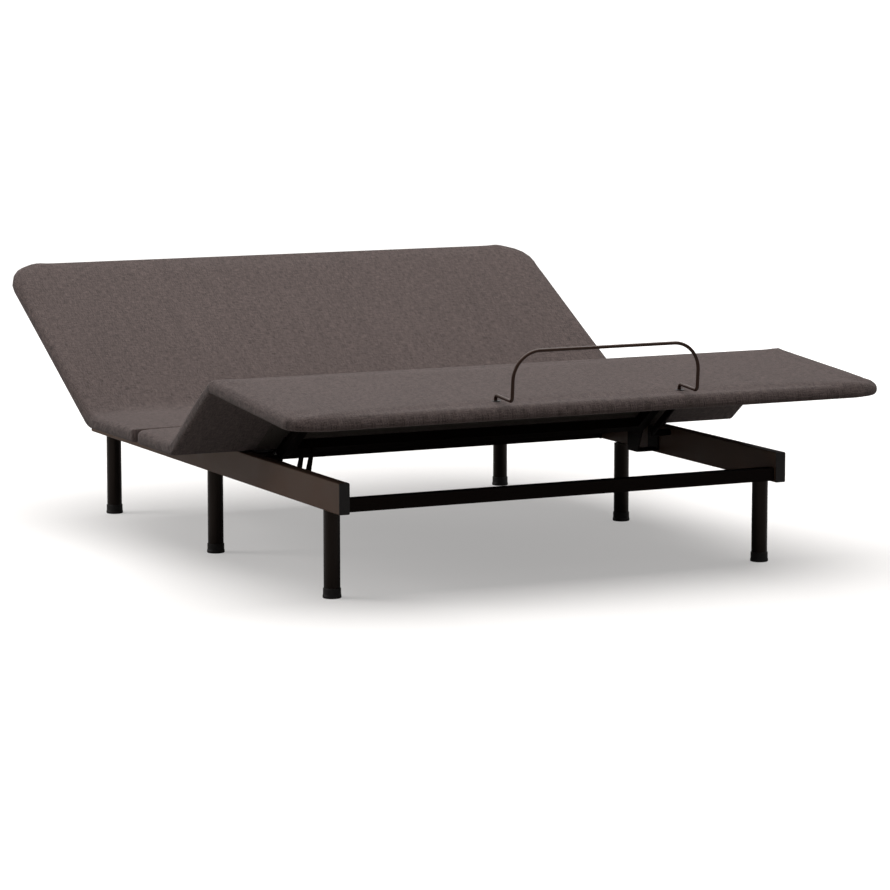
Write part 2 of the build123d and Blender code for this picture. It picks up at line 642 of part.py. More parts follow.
def actuator_housing(shortest):
    """Rear lug, gearbox case and outer tube of an actuator, along +Y."""
    gearbox_end = GEARBOX_START + GEARBOX_LONG
    case = block(-GEARBOX_HALF, GEARBOX_HALF, GEARBOX_START, gearbox_end, -GEARBOX_DOWN, GEARBOX_UP)
    case = fillet(case.edges(), GEARBOX_ROUND)
    lug = block(-LUG_HALF, LUG_HALF, 0, GEARBOX_START + GEARBOX_ROUND, -LUG_R, LUG_R)
    lug += bar_x(-LUG_HALF, LUG_HALF, 0, 0, LUG_R)
    tube_end = shortest - ROD_END_LONG - ROD_TO_TUBE
    housing = case + lug + along_y(gearbox_end - GEARBOX_ROUND, tube_end, OUTER_TUBE_R)
    housing -= bar_x(-LUG_HALF - 1, LUG_HALF + 1, 0, 0, CRANK_PIN_R + PIN_GAP)
    return housing - along_y(gearbox_end, tube_end + 1, ROD_R + ROD_GAP)


def actuator_motor(side):
    """Motor can on one side of the gearbox, along +Y; side is +1 or -1 in X."""
    y = GEARBOX_START + GEARBOX_LONG / 2
    face = side * GEARBOX_HALF
    can = bar_x(face + side * MOTOR_CAP, face + side * MOTOR_LONG, y, 0, MOTOR_R)
    can = fillet(can.edges(), 3)
    return can + bar_x(face, face + side * (MOTOR_CAP + 1), y, 0, MOTOR_SPIGOT_R)


def actuator_rod(length, longest_back, slot):
    """Rod with its slotted end block; length is the distance to the crank pin at rest."""
    start = max(ROD_START + longest_back, length - ROD_END_LONG - ROD_INSIDE)
    along, across = CRANK_PIN_R + slot[0], CRANK_PIN_R + slot[1]
    half_long, half_high = along + SLOT_WALL, across + SLOT_WALL
    end = block(-ROD_END_HALF, ROD_END_HALF, length - half_long, length + half_long, -half_high, half_high)
    end = fillet(end.edges().filter_by(Axis.X), SLOT_WALL)
    rod = end + along_y(start, length - half_long + 1, ROD_R)
    window = block(-ROD_END_HALF - 1, ROD_END_HALF + 1, length - along, length + along, -across, across)
    return rod - fillet(window.edges().filter_by(Axis.X), min(along, across) - 0.5)


def actuator(x, axis, toward, back, rest, full, beam_face, motor_side, slot):
    """The three pieces of one actuator, placed at rest, with its measures for the joints."""
    pivot = (beam_face - ACTUATOR_PIVOT_OUT, ACTUATOR_PIVOT_Z)
    pins = [crank_pin(axis, toward, back, lift) for lift in (0, rest, full)]
    spans = [hypot(p[0] - pivot[0], p[1] - pivot[1]) for p in pins]
    frame = actuator_frame(x, pivot, pins[1])
    housing = frame * actuator_housing(min(spans))
    motor = frame * actuator_motor(motor_side)
    rod = frame * actuator_rod(spans[1], spans[1] - min(spans), slot)
    return {"housing": housing, "motor": motor, "rod": rod, "pivot": pivot, "pins": pins, "spans": spans}


# ---- electric parts ---------------------------------------------------------------------------------
def shell_box(at, size):
    """Hollow case hung under the seat board."""
    x, y = at
    z0 = DECK_UNDERSIDE - size[2]
    outer = block(x - size[0] / 2, x + size[0] / 2, y - size[1] / 2, y + size[1] / 2, z0, DECK_UNDERSIDE)
    outer = fillet(outer.edges().filter_by(Axis.Z), 6)
    w = SHELL_WALL
    inner = block(x - size[0] / 2 + w, x + size[0] / 2 - w, y - size[1] / 2 + w, y + size[1] / 2 - w,
                  z0 + w, DECK_UNDERSIDE - w)
    return outer - inner


def power_inlet():
    """Mains inlet on the back of the power supply."""
    y0 = SUPPLY_AT[1] + SUPPLY_SIZE[1] / 2
    z = DECK_UNDERSIDE - SUPPLY_SIZE[2] / 2
    x = SUPPLY_AT[0]
    body = block(x - INLET_SIZE[0] / 2, x + INLET_SIZE[0] / 2, y0, y0 + INLET_SIZE[1],
                 z - INLET_SIZE[2] / 2, z + INLET_SIZE[2] / 2)
    end = y0 + INLET_SIZE[1]
    return body - block(x - INLET_SOCKET[0] / 2, x + INLET_SOCKET[0] / 2, end - INLET_SOCKET[1], end + 1,
                        z - INLET_SOCKET[2] / 2, z + INLET_SOCKET[2] / 2)


# ---- mattress retainer ------------------------------------------------------------------------------
def bent_wire(points, radii):
    """Path through the points with an arc of the given radius at each inner point."""
    pieces = []
    last = Vector(*points[0])
    for before, here, after, r in zip(points, points[1:], points[2:], radii):
        p = Vector(*here)
        u = (Vector(*before) - p).normalized()
        v = (Vector(*after) - p).normalized()
        half = radians(u.get_angle(v)) / 2
        cut = r / tan(half)
        bisector = (u + v).normalized()
        middle = p + bisector * (r / sin(half) - r)
        start, end = p + u * cut, p + v * cut
        pieces += [Line(last, start), ThreePointArc(start, middle, end)]
        last = end
    pieces.append(Line(last, Vector(*points[-1])))
    return Wire(pieces)


def retainer_bar():
    """Bent steel wire that keeps the mattress from sliding off the foot end, drawn flat."""
    stub_y = KNEE_FLAT_Y - RETAINER_STUB
    up_y = stub_y - RETAINER_RUN
    z = PAD_TOP + RETAINER_LIFT
    low, high = PAD_TOP - STUB_DEPTH, z + RETAINER_HIGH
    side = [(stub_y, low), (stub_y, z), (up_y, z), (up_y, high)]
    left = [(-RETAINER_HALF, y, level) for y, level in side]
    right = [(RETAINER_HALF, y, level) for y, level in reversed(side)]
    radii = [RETAINER_BEND, RETAINER_BEND, RETAINER_CORNER, RETAINER_CORNER, RETAINER_BEND, RETAINER_BEND]
    path = bent_wire(left + right, radii)
    return sweep(Plane(origin=left[0], z_dir=(0, 0, 1)) * Circle(WIRE_R), path=path)


def retainer_socket(side):
    """Plastic sleeve through the calf pad that a stub drops into."""
    low = DECK_UNDERSIDE
    at = Pos(side * RETAINER_HALF, KNEE_FLAT_Y - RETAINER_STUB, 0)
    sleeve = Pos(0, 0, (low + PAD_TOP) / 2) * Cylinder(SOCKET_R, PAD_TOP - low)
    flange = Pos(0, 0, PAD_TOP + SOCKET_FLANGE / 2) * Cylinder(SOCKET_FLANGE_R, SOCKET_FLANGE)
    bore_low = PAD_TOP - STUB_DEPTH - 1
    bore = Pos(0, 0, (bore_low + PAD_TOP + 2) / 2) * Cylinder(WIRE_R + SOCKET_GAP, PAD_TOP + 2 - bore_low)
    return at * (sleeve + flange - bore)


def socket_hole(shape):
    """A calf board or pad with its two socket holes."""
    for side in (-1, 1):
        at = Pos(side * RETAINER_HALF, KNEE_FLAT_Y - RETAINER_STUB, PAD_TOP)
        shape -= at * Cylinder(SOCKET_R, 200)
    return shape


# ---- assembly ---------------------------------------------------------------------------------------
def base_nodes():
    """Everything fixed to the rails."""
    nodes = {"side_rail_right": side_rail()}
    nodes["side_rail_left"] = mirror(nodes["side_rail_right"], Plane.YZ)
    caps = both_sides(lambda: rail_end_cap(0, 1)) + both_sides(lambda: rail_end_cap(RAIL_LENGTH, -1))
    nodes["rail_end_caps"] = group(caps)
    nodes["foot_crossbar"] = foot_crossbar()
    nodes["mid_cross_beam"] = cross_beam(MID_BEAM_Y)
    nodes["head_cross_beam"] = cross_beam(HEAD_BEAM_Y)
    nodes["cross_beam_bolts"] = beam_bolts()
    nodes["seat_cross_tubes"] = seat_cross_tubes()
    nodes["deck_felt_strips"] = deck_strips()
    places = [(side, row, y) for row, y in LEG_ROWS.items() for side in (-1, 1)]
    for side, row, y in places:
        nodes[f"leg_{row}_{'left' if side < 0 else 'right'}"] = leg_tube(side * LEG_X, y)
    nodes["leg_studs"] = group(leg_stud(side * LEG_X, y) for side, row, y in places)
    nodes["leg_nut_plates"] = group(leg_nut(side * LEG_X, y) for side, row, y in places)
    nodes["leg_foot_caps"] = group(leg_cap(side * LEG_X, y) for side, row, y in places)
    half_gap = SEAM_GAP / 2
    front = (THIGH_AXIS_Y + THIGH_BOARD_BACK, SEAM_Y - half_gap, HINGE_CORNER, SEAM_CORNER)
    back = (SEAM_Y + half_gap, HEAD_AXIS_Y - HEAD_BOARD_BACK, SEAM_CORNER, HINGE_CORNER)
    nodes["seat_board_front"] = deck_board(*front)
    nodes["seat_board_back"] = deck_board(*back)
    nodes["seat_pad_front"] = deck_pad(THIGH_AXIS_Y + THIGH_PAD_BACK, *front[1:])
    nodes["seat_pad_back"] = deck_pad(back[0], HEAD_AXIS_Y - HEAD_PAD_BACK, *back[2:])
    nodes["hinge_brackets"] = hinge_brackets()
    nodes["calf_link_studs"] = link_studs()
    nodes["head_actuator_bracket"] = actuator_bracket(HEAD_ACTUATOR_X, HEAD_BEAM_Y)
    nodes["thigh_actuator_bracket"] = actuator_bracket(THIGH_ACTUATOR_X, MID_BEAM_Y)
    nodes["control_box"] = shell_box(CONTROL_AT, CONTROL_SIZE)
    nodes["power_supply"] = shell_box(SUPPLY_AT, SUPPLY_SIZE)
    nodes["power_inlet"] = power_inlet()
    return nodes


def head_nodes():
    """Pieces that lift with the head section, drawn flat."""
    board_y, pad_y = HEAD_AXIS_Y + HEAD_BOARD_BACK, HEAD_AXIS_Y + HEAD_PAD_BACK
    first = HEAD_AXIS_Y + TUBE_SETBACK + CROSS_INSET
    last = HEAD_END_Y - END_SETBACK - TUBE
    inner = OUTER_TUBE_X - TUBE
    nodes = {"head_board": deck_board(board_y, HEAD_END_Y - BOARD_INSET, HINGE_CORNER, END_CORNER - BOARD_INSET)}
    nodes["head_pad"] = deck_pad(pad_y, HEAD_END_Y, HINGE_CORNER, END_CORNER)
    nodes["head_dust_cover"] = dust_cover(board_y, HEAD_END_Y - CLOTH_SETBACK)
    nodes["head_side_tubes"] = group(head_side_tubes())
    nodes["head_cross_tubes"] = group(cross_tubes(inner, (first, (first + last) / 2, last)))
    nodes["head_hinge_pins"] = group(section_pins(HEAD_AXIS))
    nodes["head_lift_crank"] = crank(HEAD_ACTUATOR_X, HEAD_AXIS, 1, HEAD_CRANK_BACK, first)
    return nodes


def thigh_nodes():
    """Pieces that lift with the thigh section, drawn flat."""
    board = (KNEE_FLAT_Y + HINGE_GAP, THIGH_AXIS_Y - THIGH_BOARD_BACK)
    near_knee = KNEE_FLAT_Y + KNEE_SETBACK + CROSS_INSET
    near_seat = THIGH_AXIS_Y - TUBE_SETBACK - CROSS_INSET - TUBE
    inner = OUTER_TUBE_X - TUBE
    nodes = {"thigh_board": deck_board(*board, HINGE_CORNER / 4, HINGE_CORNER)}
    nodes["thigh_pad"] = deck_pad(board[0], THIGH_AXIS_Y - THIGH_PAD_BACK, HINGE_CORNER / 4, HINGE_CORNER)
    nodes["thigh_dust_cover"] = dust_cover(KNEE_FLAT_Y + KNEE_SETBACK, board[1])
    nodes["thigh_side_tubes"] = group(thigh_side_tubes())
    cross_half = inner - PLATE
    nodes["thigh_cross_tubes"] = group(cross_tubes(cross_half, (near_knee,)) + cross_tubes(inner, (near_seat,)))
    nodes["thigh_hinge_pins"] = group(section_pins(THIGH_AXIS))
    nodes["knee_hinge_pins"] = group(knee_pins())
    nodes["thigh_lift_crank"] = crank(THIGH_ACTUATOR_X, THIGH_AXIS, -1, THIGH_CRANK_BACK, near_seat)
    return nodes


def calf_nodes():
    """Pieces that ride on the calf section, drawn flat."""
    board = (FOOT_END_Y + BOARD_INSET, KNEE_FLAT_Y - HINGE_GAP)
    inner = CALF_TUBE_X - TUBE
    near_knee = KNEE_FLAT_Y - KNEE_SETBACK - CROSS_INSET - TUBE
    near_foot = FOOT_END_Y + FOOT_SETBACK
    nodes = {"calf_board": socket_hole(deck_board(*board, END_CORNER - BOARD_INSET, HINGE_CORNER / 4))}
    nodes["calf_pad"] = socket_hole(deck_pad(FOOT_END_Y, board[1], END_CORNER, HINGE_CORNER / 4))
    nodes["calf_dust_cover"] = dust_cover(FOOT_END_Y + CLOTH_SETBACK, KNEE_FLAT_Y - KNEE_SETBACK)
    nodes["calf_side_tubes"] = group(calf_side_tubes())
    nodes["calf_cross_tubes"] = group(cross_tubes(inner, (near_foot, near_knee)))
    nodes["retainer_sockets"] = group(retainer_socket(side) for side in (-1, 1))
    return nodes


def placed(nodes, place):
    """Every node of a section turned into its rest position."""
    return {name: place(shape) for name, shape in nodes.items()}


def actuators():
    """Both lift actuators with their measures."""
    head = actuator(HEAD_ACTUATOR_X, HEAD_AXIS, 1, HEAD_CRANK_BACK, HEAD_REST, HEAD_FULL, HEAD_BEAM_Y, -1, HEAD_SLOT)
    thigh = actuator(THIGH_ACTUATOR_X, THIGH_AXIS, -1, THIGH_CRANK_BACK, THIGH_REST, THIGH_FULL, MID_BEAM_Y, 1,
                     THIGH_SLOT)
    return {"head": head, "thigh": thigh}


def bodies():
    """All nodes, grouped by the body that they move with."""
    drives = actuators()
    tree = {"base_frame": base_nodes()}
    tree["head_section"] = placed(head_nodes(), place_head)
    tree["thigh_section"] = placed(thigh_nodes(), place_thigh)
    tree["calf_section"] = placed(calf_nodes(), place_calf)
    tree["calf_links"] = {"calf_links": calf_links()}
    tree["retainer"] = {"mattress_retainer_bar": place_calf(retainer_bar())}
    for name, drive in drives.items():
        housing = {f"{name}_actuator_housing": drive["housing"], f"{name}_actuator_motor": drive["motor"]}
        tree[f"{name}_actuator"] = housing
        tree[f"{name}_rod"] = {f"{name}_actuator_rod": drive["rod"]}
    return tree


def shift_y(tree):
    """Distance that puts the middle of the whole base's length at Y = 0."""
    boxes = [shape.bounding_box() for nodes in tree.values() for shape in nodes.values()]
    return -(min(b.min.Y for b in boxes) + max(b.max.Y for b in boxes)) / 2


def main():
    """Write one STEP file per node."""
    os.makedirs("parts", exist_ok=True)
    tree = bodies()
    move = Pos(0, shift_y(tree), 0)
    for nodes in tree.values():
        for name, shape in nodes.items():
            export_step(move * shape, f"parts/{name}.step")


if __name__ == "__main__":
    main()
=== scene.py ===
"""Adjustable bed base: fabric covers, finishes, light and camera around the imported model."""

from __future__ import annotations

import json
import logging
import math
from dataclasses import dataclass, field
from enum import Enum

import bpy
import numpy as np
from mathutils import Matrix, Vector

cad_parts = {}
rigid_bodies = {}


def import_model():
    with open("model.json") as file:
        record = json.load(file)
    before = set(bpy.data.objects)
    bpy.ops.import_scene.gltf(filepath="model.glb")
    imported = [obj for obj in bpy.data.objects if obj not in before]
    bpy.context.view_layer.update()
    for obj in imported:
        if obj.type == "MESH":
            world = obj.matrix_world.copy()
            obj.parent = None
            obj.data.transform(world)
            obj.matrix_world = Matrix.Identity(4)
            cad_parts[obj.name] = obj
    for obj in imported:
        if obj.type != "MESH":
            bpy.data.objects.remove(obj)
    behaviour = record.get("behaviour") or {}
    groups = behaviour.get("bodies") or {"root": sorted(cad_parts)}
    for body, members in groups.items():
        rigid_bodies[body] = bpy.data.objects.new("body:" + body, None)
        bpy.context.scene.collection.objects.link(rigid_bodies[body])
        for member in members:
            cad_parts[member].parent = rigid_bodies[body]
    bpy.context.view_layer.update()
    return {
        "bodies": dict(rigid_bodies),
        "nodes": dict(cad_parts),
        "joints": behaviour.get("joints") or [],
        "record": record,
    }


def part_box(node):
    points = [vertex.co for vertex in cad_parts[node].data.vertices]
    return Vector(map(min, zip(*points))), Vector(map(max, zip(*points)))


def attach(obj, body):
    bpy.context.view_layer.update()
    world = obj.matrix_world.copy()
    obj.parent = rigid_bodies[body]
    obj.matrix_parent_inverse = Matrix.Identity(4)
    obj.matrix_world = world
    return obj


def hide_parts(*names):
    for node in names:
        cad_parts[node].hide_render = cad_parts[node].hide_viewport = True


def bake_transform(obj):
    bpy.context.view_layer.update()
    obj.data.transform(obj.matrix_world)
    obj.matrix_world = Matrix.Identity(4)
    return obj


LOG = logging.getLogger("bed_base")


# ---- shader graphs -------------------------------------------------------------------------------
class Graph:
    """A short way to place shader nodes and join them."""

    def __init__(self, tree: bpy.types.NodeTree) -> None:
        """Take the tree to draw in.

        Args:
            tree: a material's, a world's or a group's node tree.
        """
        self.tree = tree

    def node(self, kind: str, joined: dict | None = None, **values: object) -> bpy.types.Node:
        """Add a node.

        Args:
            kind: Blender's name of the node type.
            joined: output sockets for inputs, by input name or index.
            **values: settings of the node itself.

        Returns:
            The new node.
        """
        made = self.tree.nodes.new(kind)
        for name, value in values.items():
            setattr(made, name, value)
        for name, source in (joined or {}).items():
            if isinstance(source, bpy.types.NodeSocket):
                self.tree.links.new(source, made.inputs[name])
            else:
                made.inputs[name].default_value = source
        return made

    def math(self, operation: str, *terms: object) -> bpy.types.NodeSocket:
        """Result of a math node on numbers or sockets."""
        return self.node("ShaderNodeMath", dict(enumerate(terms)), operation=operation).outputs[0]

    def noise(self, place: bpy.types.NodeSocket, scale: float,
              detail: float = 2.0) -> bpy.types.NodeSocket:
        """Value of a noise texture at a place."""
        made = self.node("ShaderNodeTexNoise", {"Vector": place, "Scale": scale, "Detail": detail})
        return made.outputs["Fac"]

    def stretched(self, place: bpy.types.NodeSocket,
                  scale: tuple[float, float, float]) -> bpy.types.NodeSocket:
        """A place vector multiplied by a scale along each axis."""
        made = self.node("ShaderNodeVectorMath", {0: place, 1: scale}, operation="MULTIPLY")
        return made.outputs["Vector"]

    def spread(self, value: object, low: float, high: float, to_low: float,
               to_high: float) -> bpy.types.NodeSocket:
        """A value moved from one range to another, held inside it."""
        terms = {"Value": value, "From Min": low, "From Max": high, "To Min": to_low, "To Max": to_high}
        return self.node("ShaderNodeMapRange", terms).outputs["Result"]

    def blend(self, share: object, low: object, high: object) -> bpy.types.NodeSocket:
        """A colour between two colours."""
        made = self.node("ShaderNodeMix", data_type="RGBA")
        for index, source in ((0, share), (6, low), (7, high)):
            if isinstance(source, bpy.types.NodeSocket):
                self.tree.links.new(source, made.inputs[index])
            else:
                made.inputs[index].default_value = source
        return made.outputs[2]

    def bump(self, height: bpy.types.NodeSocket, strength: float, distance: float) -> bpy.types.NodeSocket:
        """Normal of a bump node."""
        made = self.node("ShaderNodeBump", {"Height": height, "Strength": strength, "Distance": distance})
        return made.outputs["Normal"]


class Effect(Enum):
    """Shared shader groups."""

    WEAVE = "over_under_weave"
    GRAIN = "coat_grain"
    WEAR = "edge_wear"


@dataclass(frozen=True)
class Socket:
    """One socket of a shared group."""

    name: str
    kind: str = "NodeSocketFloat"
    value: float = 0.0


class EffectLibrary:
    """Builds each shared group once and places it in materials."""

    PLACE = Socket("Place", "NodeSocketVector")

    def __init__(self) -> None:
        """Start with no groups built."""
        self.groups: dict[Effect, bpy.types.NodeTree] = {}

    def place(self, graph: Graph, effect: Effect, **values: object) -> bpy.types.Node:
        """Put a shared group into a graph.

        Args:
            graph: where the group goes.
            effect: which group.
            **values: its inputs, with the socket names in lower case.

        Returns:
            The group's node.
        """
        if effect not in self.groups:
            builder = {Effect.WEAVE: self._weave, Effect.GRAIN: self._grain, Effect.WEAR: self._wear}[effect]
            self.groups[effect] = builder(effect.value)
        made = graph.node("ShaderNodeGroup", node_tree=self.groups[effect])
        for name, value in values.items():
            socket = made.inputs[name.capitalize()]
            if isinstance(value, bpy.types.NodeSocket):
                graph.tree.links.new(value, socket)
            else:
                socket.default_value = value
        return made

    @staticmethod
    def _start(name: str, inputs: tuple[Socket, ...],
               outputs: tuple[Socket, ...]) -> tuple[Graph, dict, bpy.types.Node]:
        """Make an empty group with its sockets.

        Args:
            name: the group's name.
            inputs: its input sockets.
            outputs: its output sockets.

        Returns:
            The graph, the input sockets by name and the output node.
        """
        tree = bpy.data.node_groups.new(name, "ShaderNodeTree")
        for direction, sockets in (("INPUT", inputs), ("OUTPUT", outputs)):
            for socket in sockets:
                made = tree.interface.new_socket(socket.name, in_out=direction, socket_type=socket.kind)
                if socket.kind == "NodeSocketFloat":
                    made.default_value = socket.value
        graph = Graph(tree)
        return graph, graph.node("NodeGroupInput").outputs, graph.node("NodeGroupOutput")

    def _weave(self, name: str) -> bpy.types.NodeTree:
        """Plain weave of slubby yarn: Yarn is each thread's shade, Height its relief."""
        graph, given, out = self._start(
            name, (self.PLACE, Socket("Pitch", value=0.003), Socket("Slub", value=0.5)),
            (Socket("Yarn"), Socket("Height")))
        counted = graph.node("ShaderNodeVectorMath", {0: given["Place"]}, operation="SCALE")
        graph.tree.links.new(graph.math("DIVIDE", 1.0, given["Pitch"]), counted.inputs["Scale"])
        wobble = graph.node("ShaderNodeTexNoise",
                            {"Vector": counted.outputs["Vector"], "Scale": 0.31, "Detail": 1.0})
        centred = graph.node("ShaderNodeVectorMath", {0: wobble.outputs["Color"], 1: (0.5, 0.5, 0.5)},
                             operation="SUBTRACT")
        moved = graph.node("ShaderNodeVectorMath", {0: centred.outputs["Vector"], 1: (0.9, 0.9, 0.0),
                                                    2: counted.outputs["Vector"]}, operation="MULTIPLY_ADD")
        axes = graph.node("ShaderNodeSeparateXYZ", {0: moved.outputs["Vector"]})
        across = graph.math("SINE", graph.math("MULTIPLY", axes.outputs["X"], math.pi))
        along = graph.math("SINE", graph.math("MULTIPLY", axes.outputs["Y"], math.pi))
        over = graph.spread(graph.math("MULTIPLY", across, along), -0.35, 0.35, 0.0, 1.0)
        warp = graph.noise(graph.stretched(moved.outputs["Vector"], (0.5, 0.08, 0.0)), 2.0)
        weft = graph.noise(graph.stretched(moved.outputs["Vector"], (0.08, 0.5, 0.0)), 2.0)
        mixed = graph.node("ShaderNodeMix", {0: over, 2: weft, 3: warp}, data_type="FLOAT").outputs[0]
        shade = graph.math("MULTIPLY_ADD", graph.math("SUBTRACT", mixed, 0.5), given["Slub"], 0.5)
        ridge = graph.node("ShaderNodeMix", {0: over, 2: graph.math("ABSOLUTE", along),
                                             3: graph.math("ABSOLUTE", across)}, data_type="FLOAT").outputs[0]
        graph.tree.links.new(graph.math("MAXIMUM", shade, 0.0), out.inputs["Yarn"])
        graph.tree.links.new(graph.math("MULTIPLY_ADD", mixed, 0.5, ridge), out.inputs["Height"])
        return graph.tree

    def _grain(self, name: str) -> bpy.types.NodeTree:
        """Fine orange peel of a sprayed or moulded surface with slow cloudiness."""
        graph, given, out = self._start(
            name, (self.PLACE, Socket("Size", value=0.001)), (Socket("Cloud"), Socket("Height")))
        scaled = graph.node("ShaderNodeVectorMath", {0: given["Place"]}, operation="SCALE")
        graph.tree.links.new(graph.math("DIVIDE", 1.0, given["Size"]), scaled.inputs["Scale"])
        graph.tree.links.new(graph.noise(given["Place"], 7.0, 4.0), out.inputs["Cloud"])
        graph.tree.links.new(graph.noise(scaled.outputs["Vector"], 1.0, 1.0), out.inputs["Height"])
        return graph.tree

    def _wear(self, name: str) -> bpy.types.NodeTree:
        """Mask of rubbed edges, broken up by noise."""
        graph, given, out = self._start(name, (self.PLACE, Socket("Amount", value=0.5)), (Socket("Mask"),))
        true = graph.node("ShaderNodeNewGeometry").outputs["Normal"]
        rounded = graph.node("ShaderNodeBevel", {"Radius": 0.0012}, samples=4).outputs["Normal"]
        facing = graph.node("ShaderNodeVectorMath", {0: true, 1: rounded},
                            operation="DOT_PRODUCT").outputs["Value"]
        edge = graph.spread(facing, 0.97, 0.80, 0.0, 1.0)
        patch = graph.spread(graph.noise(given["Place"], 38.0, 3.0), 0.42, 0.62, 0.0, 1.0)
        worn = graph.math("MULTIPLY", graph.math("MULTIPLY", edge, patch), given["Amount"])
        graph.tree.links.new(worn, out.inputs["Mask"])
        return graph.tree


# ---- finishes ------------------------------------------------------------------------------------
Colour = tuple[float, float, float, float]


def grey(level: float, warmth: float = 0.0) -> Colour:
    """A near-neutral colour; warmth tips it toward brown."""
    return (level * (1 + warmth), level, level * (1 - warmth), 1.0)


@dataclass(frozen=True)
class Finish:
    """What every finish has: a name and the roughness of its surface."""

    name: str
    roughness: float = 0.5

    def material(self, effects: EffectLibrary) -> bpy.types.Material:
        """Build the finish.

        Args:
            effects: the shared groups.

        Returns:
            The material.
        """
        made = bpy.data.materials.new(self.name)
        made.use_nodes = True
        made.node_tree.nodes.clear()
        graph = Graph(made.node_tree)
        surface = graph.node("ShaderNodeBsdfPrincipled", {"Roughness": self.roughness})
        self.dress(graph, surface, effects)
        graph.node("ShaderNodeOutputMaterial", {"Surface": surface.outputs[0]})
        return made

    def dress(self, graph: Graph, surface: bpy.types.Node, effects: EffectLibrary) -> None:
        """Give the surface its colour and relief."""
        raise NotImplementedError

    @staticmethod
    def own_place(graph: Graph) -> bpy.types.NodeSocket:
        """Place in the object's own space, which moves with the piece."""
        return graph.node("ShaderNodeTexCoord").outputs["Object"]


@dataclass(frozen=True)
class PowderCoat(Finish):
    """Sprayed and baked paint on steel."""

    colour: Colour = (0.03, 0.03, 0.03, 1.0)
    bare: Colour = (0.30, 0.28, 0.26, 1.0)
    grain: float = 0.0016
    relief: float = 0.12
    wear: float = 0.25
    coat: float = 0.0
    shine: float = 0.5

    def dress(self, graph: Graph, surface: bpy.types.Node, effects: EffectLibrary) -> None:
        """Cloudy paint with orange peel and slightly rubbed edges."""
        place = self.own_place(graph)
        grain = effects.place(graph, Effect.GRAIN, place=place, size=self.grain)
        darker = tuple(0.82 * c for c in self.colour[:3]) + (1.0,)
        cloud = graph.spread(grain.outputs["Cloud"], 0.3, 0.7, 0.0, 1.0)
        paint = graph.blend(cloud, darker, self.colour)
        worn = effects.place(graph, Effect.WEAR, place=place, amount=self.wear).outputs["Mask"]
        colour = graph.blend(worn, paint, self.bare)
        links = graph.tree.links
        links.new(colour, surface.inputs["Base Color"])
        rough = graph.spread(grain.outputs["Cloud"], 0.3, 0.7, self.roughness - 0.05, self.roughness + 0.06)
        links.new(rough, surface.inputs["Roughness"])
        links.new(graph.bump(grain.outputs["Height"], self.relief, self.grain), surface.inputs["Normal"])
        surface.inputs["Specular IOR Level"].default_value = self.shine
        surface.inputs["Specular Tint"].default_value = (1.0, 0.82, 0.72, 1.0)
        surface.inputs["Coat Weight"].default_value = self.coat
        surface.inputs["Coat Roughness"].default_value = 0.25


@dataclass(frozen=True)
class Moulding(Finish):
    """Textured moulded plastic."""

    colour: Colour = (0.02, 0.02, 0.02, 1.0)
    grain: float = 0.0009

    def dress(self, graph: Graph, surface: bpy.types.Node, effects: EffectLibrary) -> None:
        """Spark-eroded grain with paler rubbed corners."""
        place = self.own_place(graph)
        grain = effects.place(graph, Effect.GRAIN, place=place, size=self.grain)
        worn = effects.place(graph, Effect.WEAR, place=place, amount=0.35).outputs["Mask"]
        links = graph.tree.links
        links.new(graph.blend(worn, self.colour, grey(0.05)), surface.inputs["Base Color"])
        surface.inputs["Specular IOR Level"].default_value = 0.2
        rough = graph.spread(grain.outputs["Cloud"], 0.3, 0.7, self.roughness - 0.06, self.roughness + 0.08)
        links.new(rough, surface.inputs["Roughness"])
        links.new(graph.bump(grain.outputs["Height"], 0.25, self.grain), surface.inputs["Normal"])


@dataclass(frozen=True)
class Plating(Finish):
    """Zinc-plated or drawn steel with fine draw lines."""

    colour: Colour = (0.58, 0.58, 0.56, 1.0)

    def dress(self, graph: Graph, surface: bpy.types.Node, effects: EffectLibrary) -> None:
        """Bright metal, clouded and lightly scratched."""
        place = self.own_place(graph)
        grain = effects.place(graph, Effect.GRAIN, place=place, size=0.004)
        drawn = graph.noise(graph.stretched(place, (900.0, 60.0, 900.0)), 1.0)
        cloud = graph.spread(grain.outputs["Cloud"], 0.3, 0.7, 0.0, 1.0)
        dull = tuple(0.72 * c for c in self.colour[:3]) + (1.0,)
        links = graph.tree.links
        links.new(graph.blend(cloud, dull, self.colour), surface.inputs["Base Color"])
        links.new(graph.spread(drawn, 0.3, 0.7, self.roughness - 0.08, self.roughness + 0.1),
                  surface.inputs["Roughness"])
        links.new(graph.bump(drawn, 0.1, 0.0004), surface.inputs["Normal"])
        surface.inputs["Metallic"].default_value = 1.0


@dataclass(frozen=True)
class Plywood(Finish):
    """Sanded plywood face with long grain across the bed."""

    pale: Colour = (0.52, 0.36, 0.20, 1.0)
    dark: Colour = (0.34, 0.21, 0.10, 1.0)

    def dress(self, graph: Graph, surface: bpy.types.Node, effects: EffectLibrary) -> None:
        """Wavy grain lines and pores."""
        place = self.own_place(graph)
        figure = graph.noise(graph.stretched(place, (1.2, 14.0, 60.0)), 2.0, 6.0)
        pores = graph.noise(graph.stretched(place, (40.0, 900.0, 900.0)), 1.0)
        links = graph.tree.links
        links.new(graph.blend(graph.spread(figure, 0.35, 0.65, 0.0, 1.0), self.dark, self.pale),
                  surface.inputs["Base Color"])
        links.new(graph.bump(pores, 0.3, 0.0003), surface.inputs["Normal"])


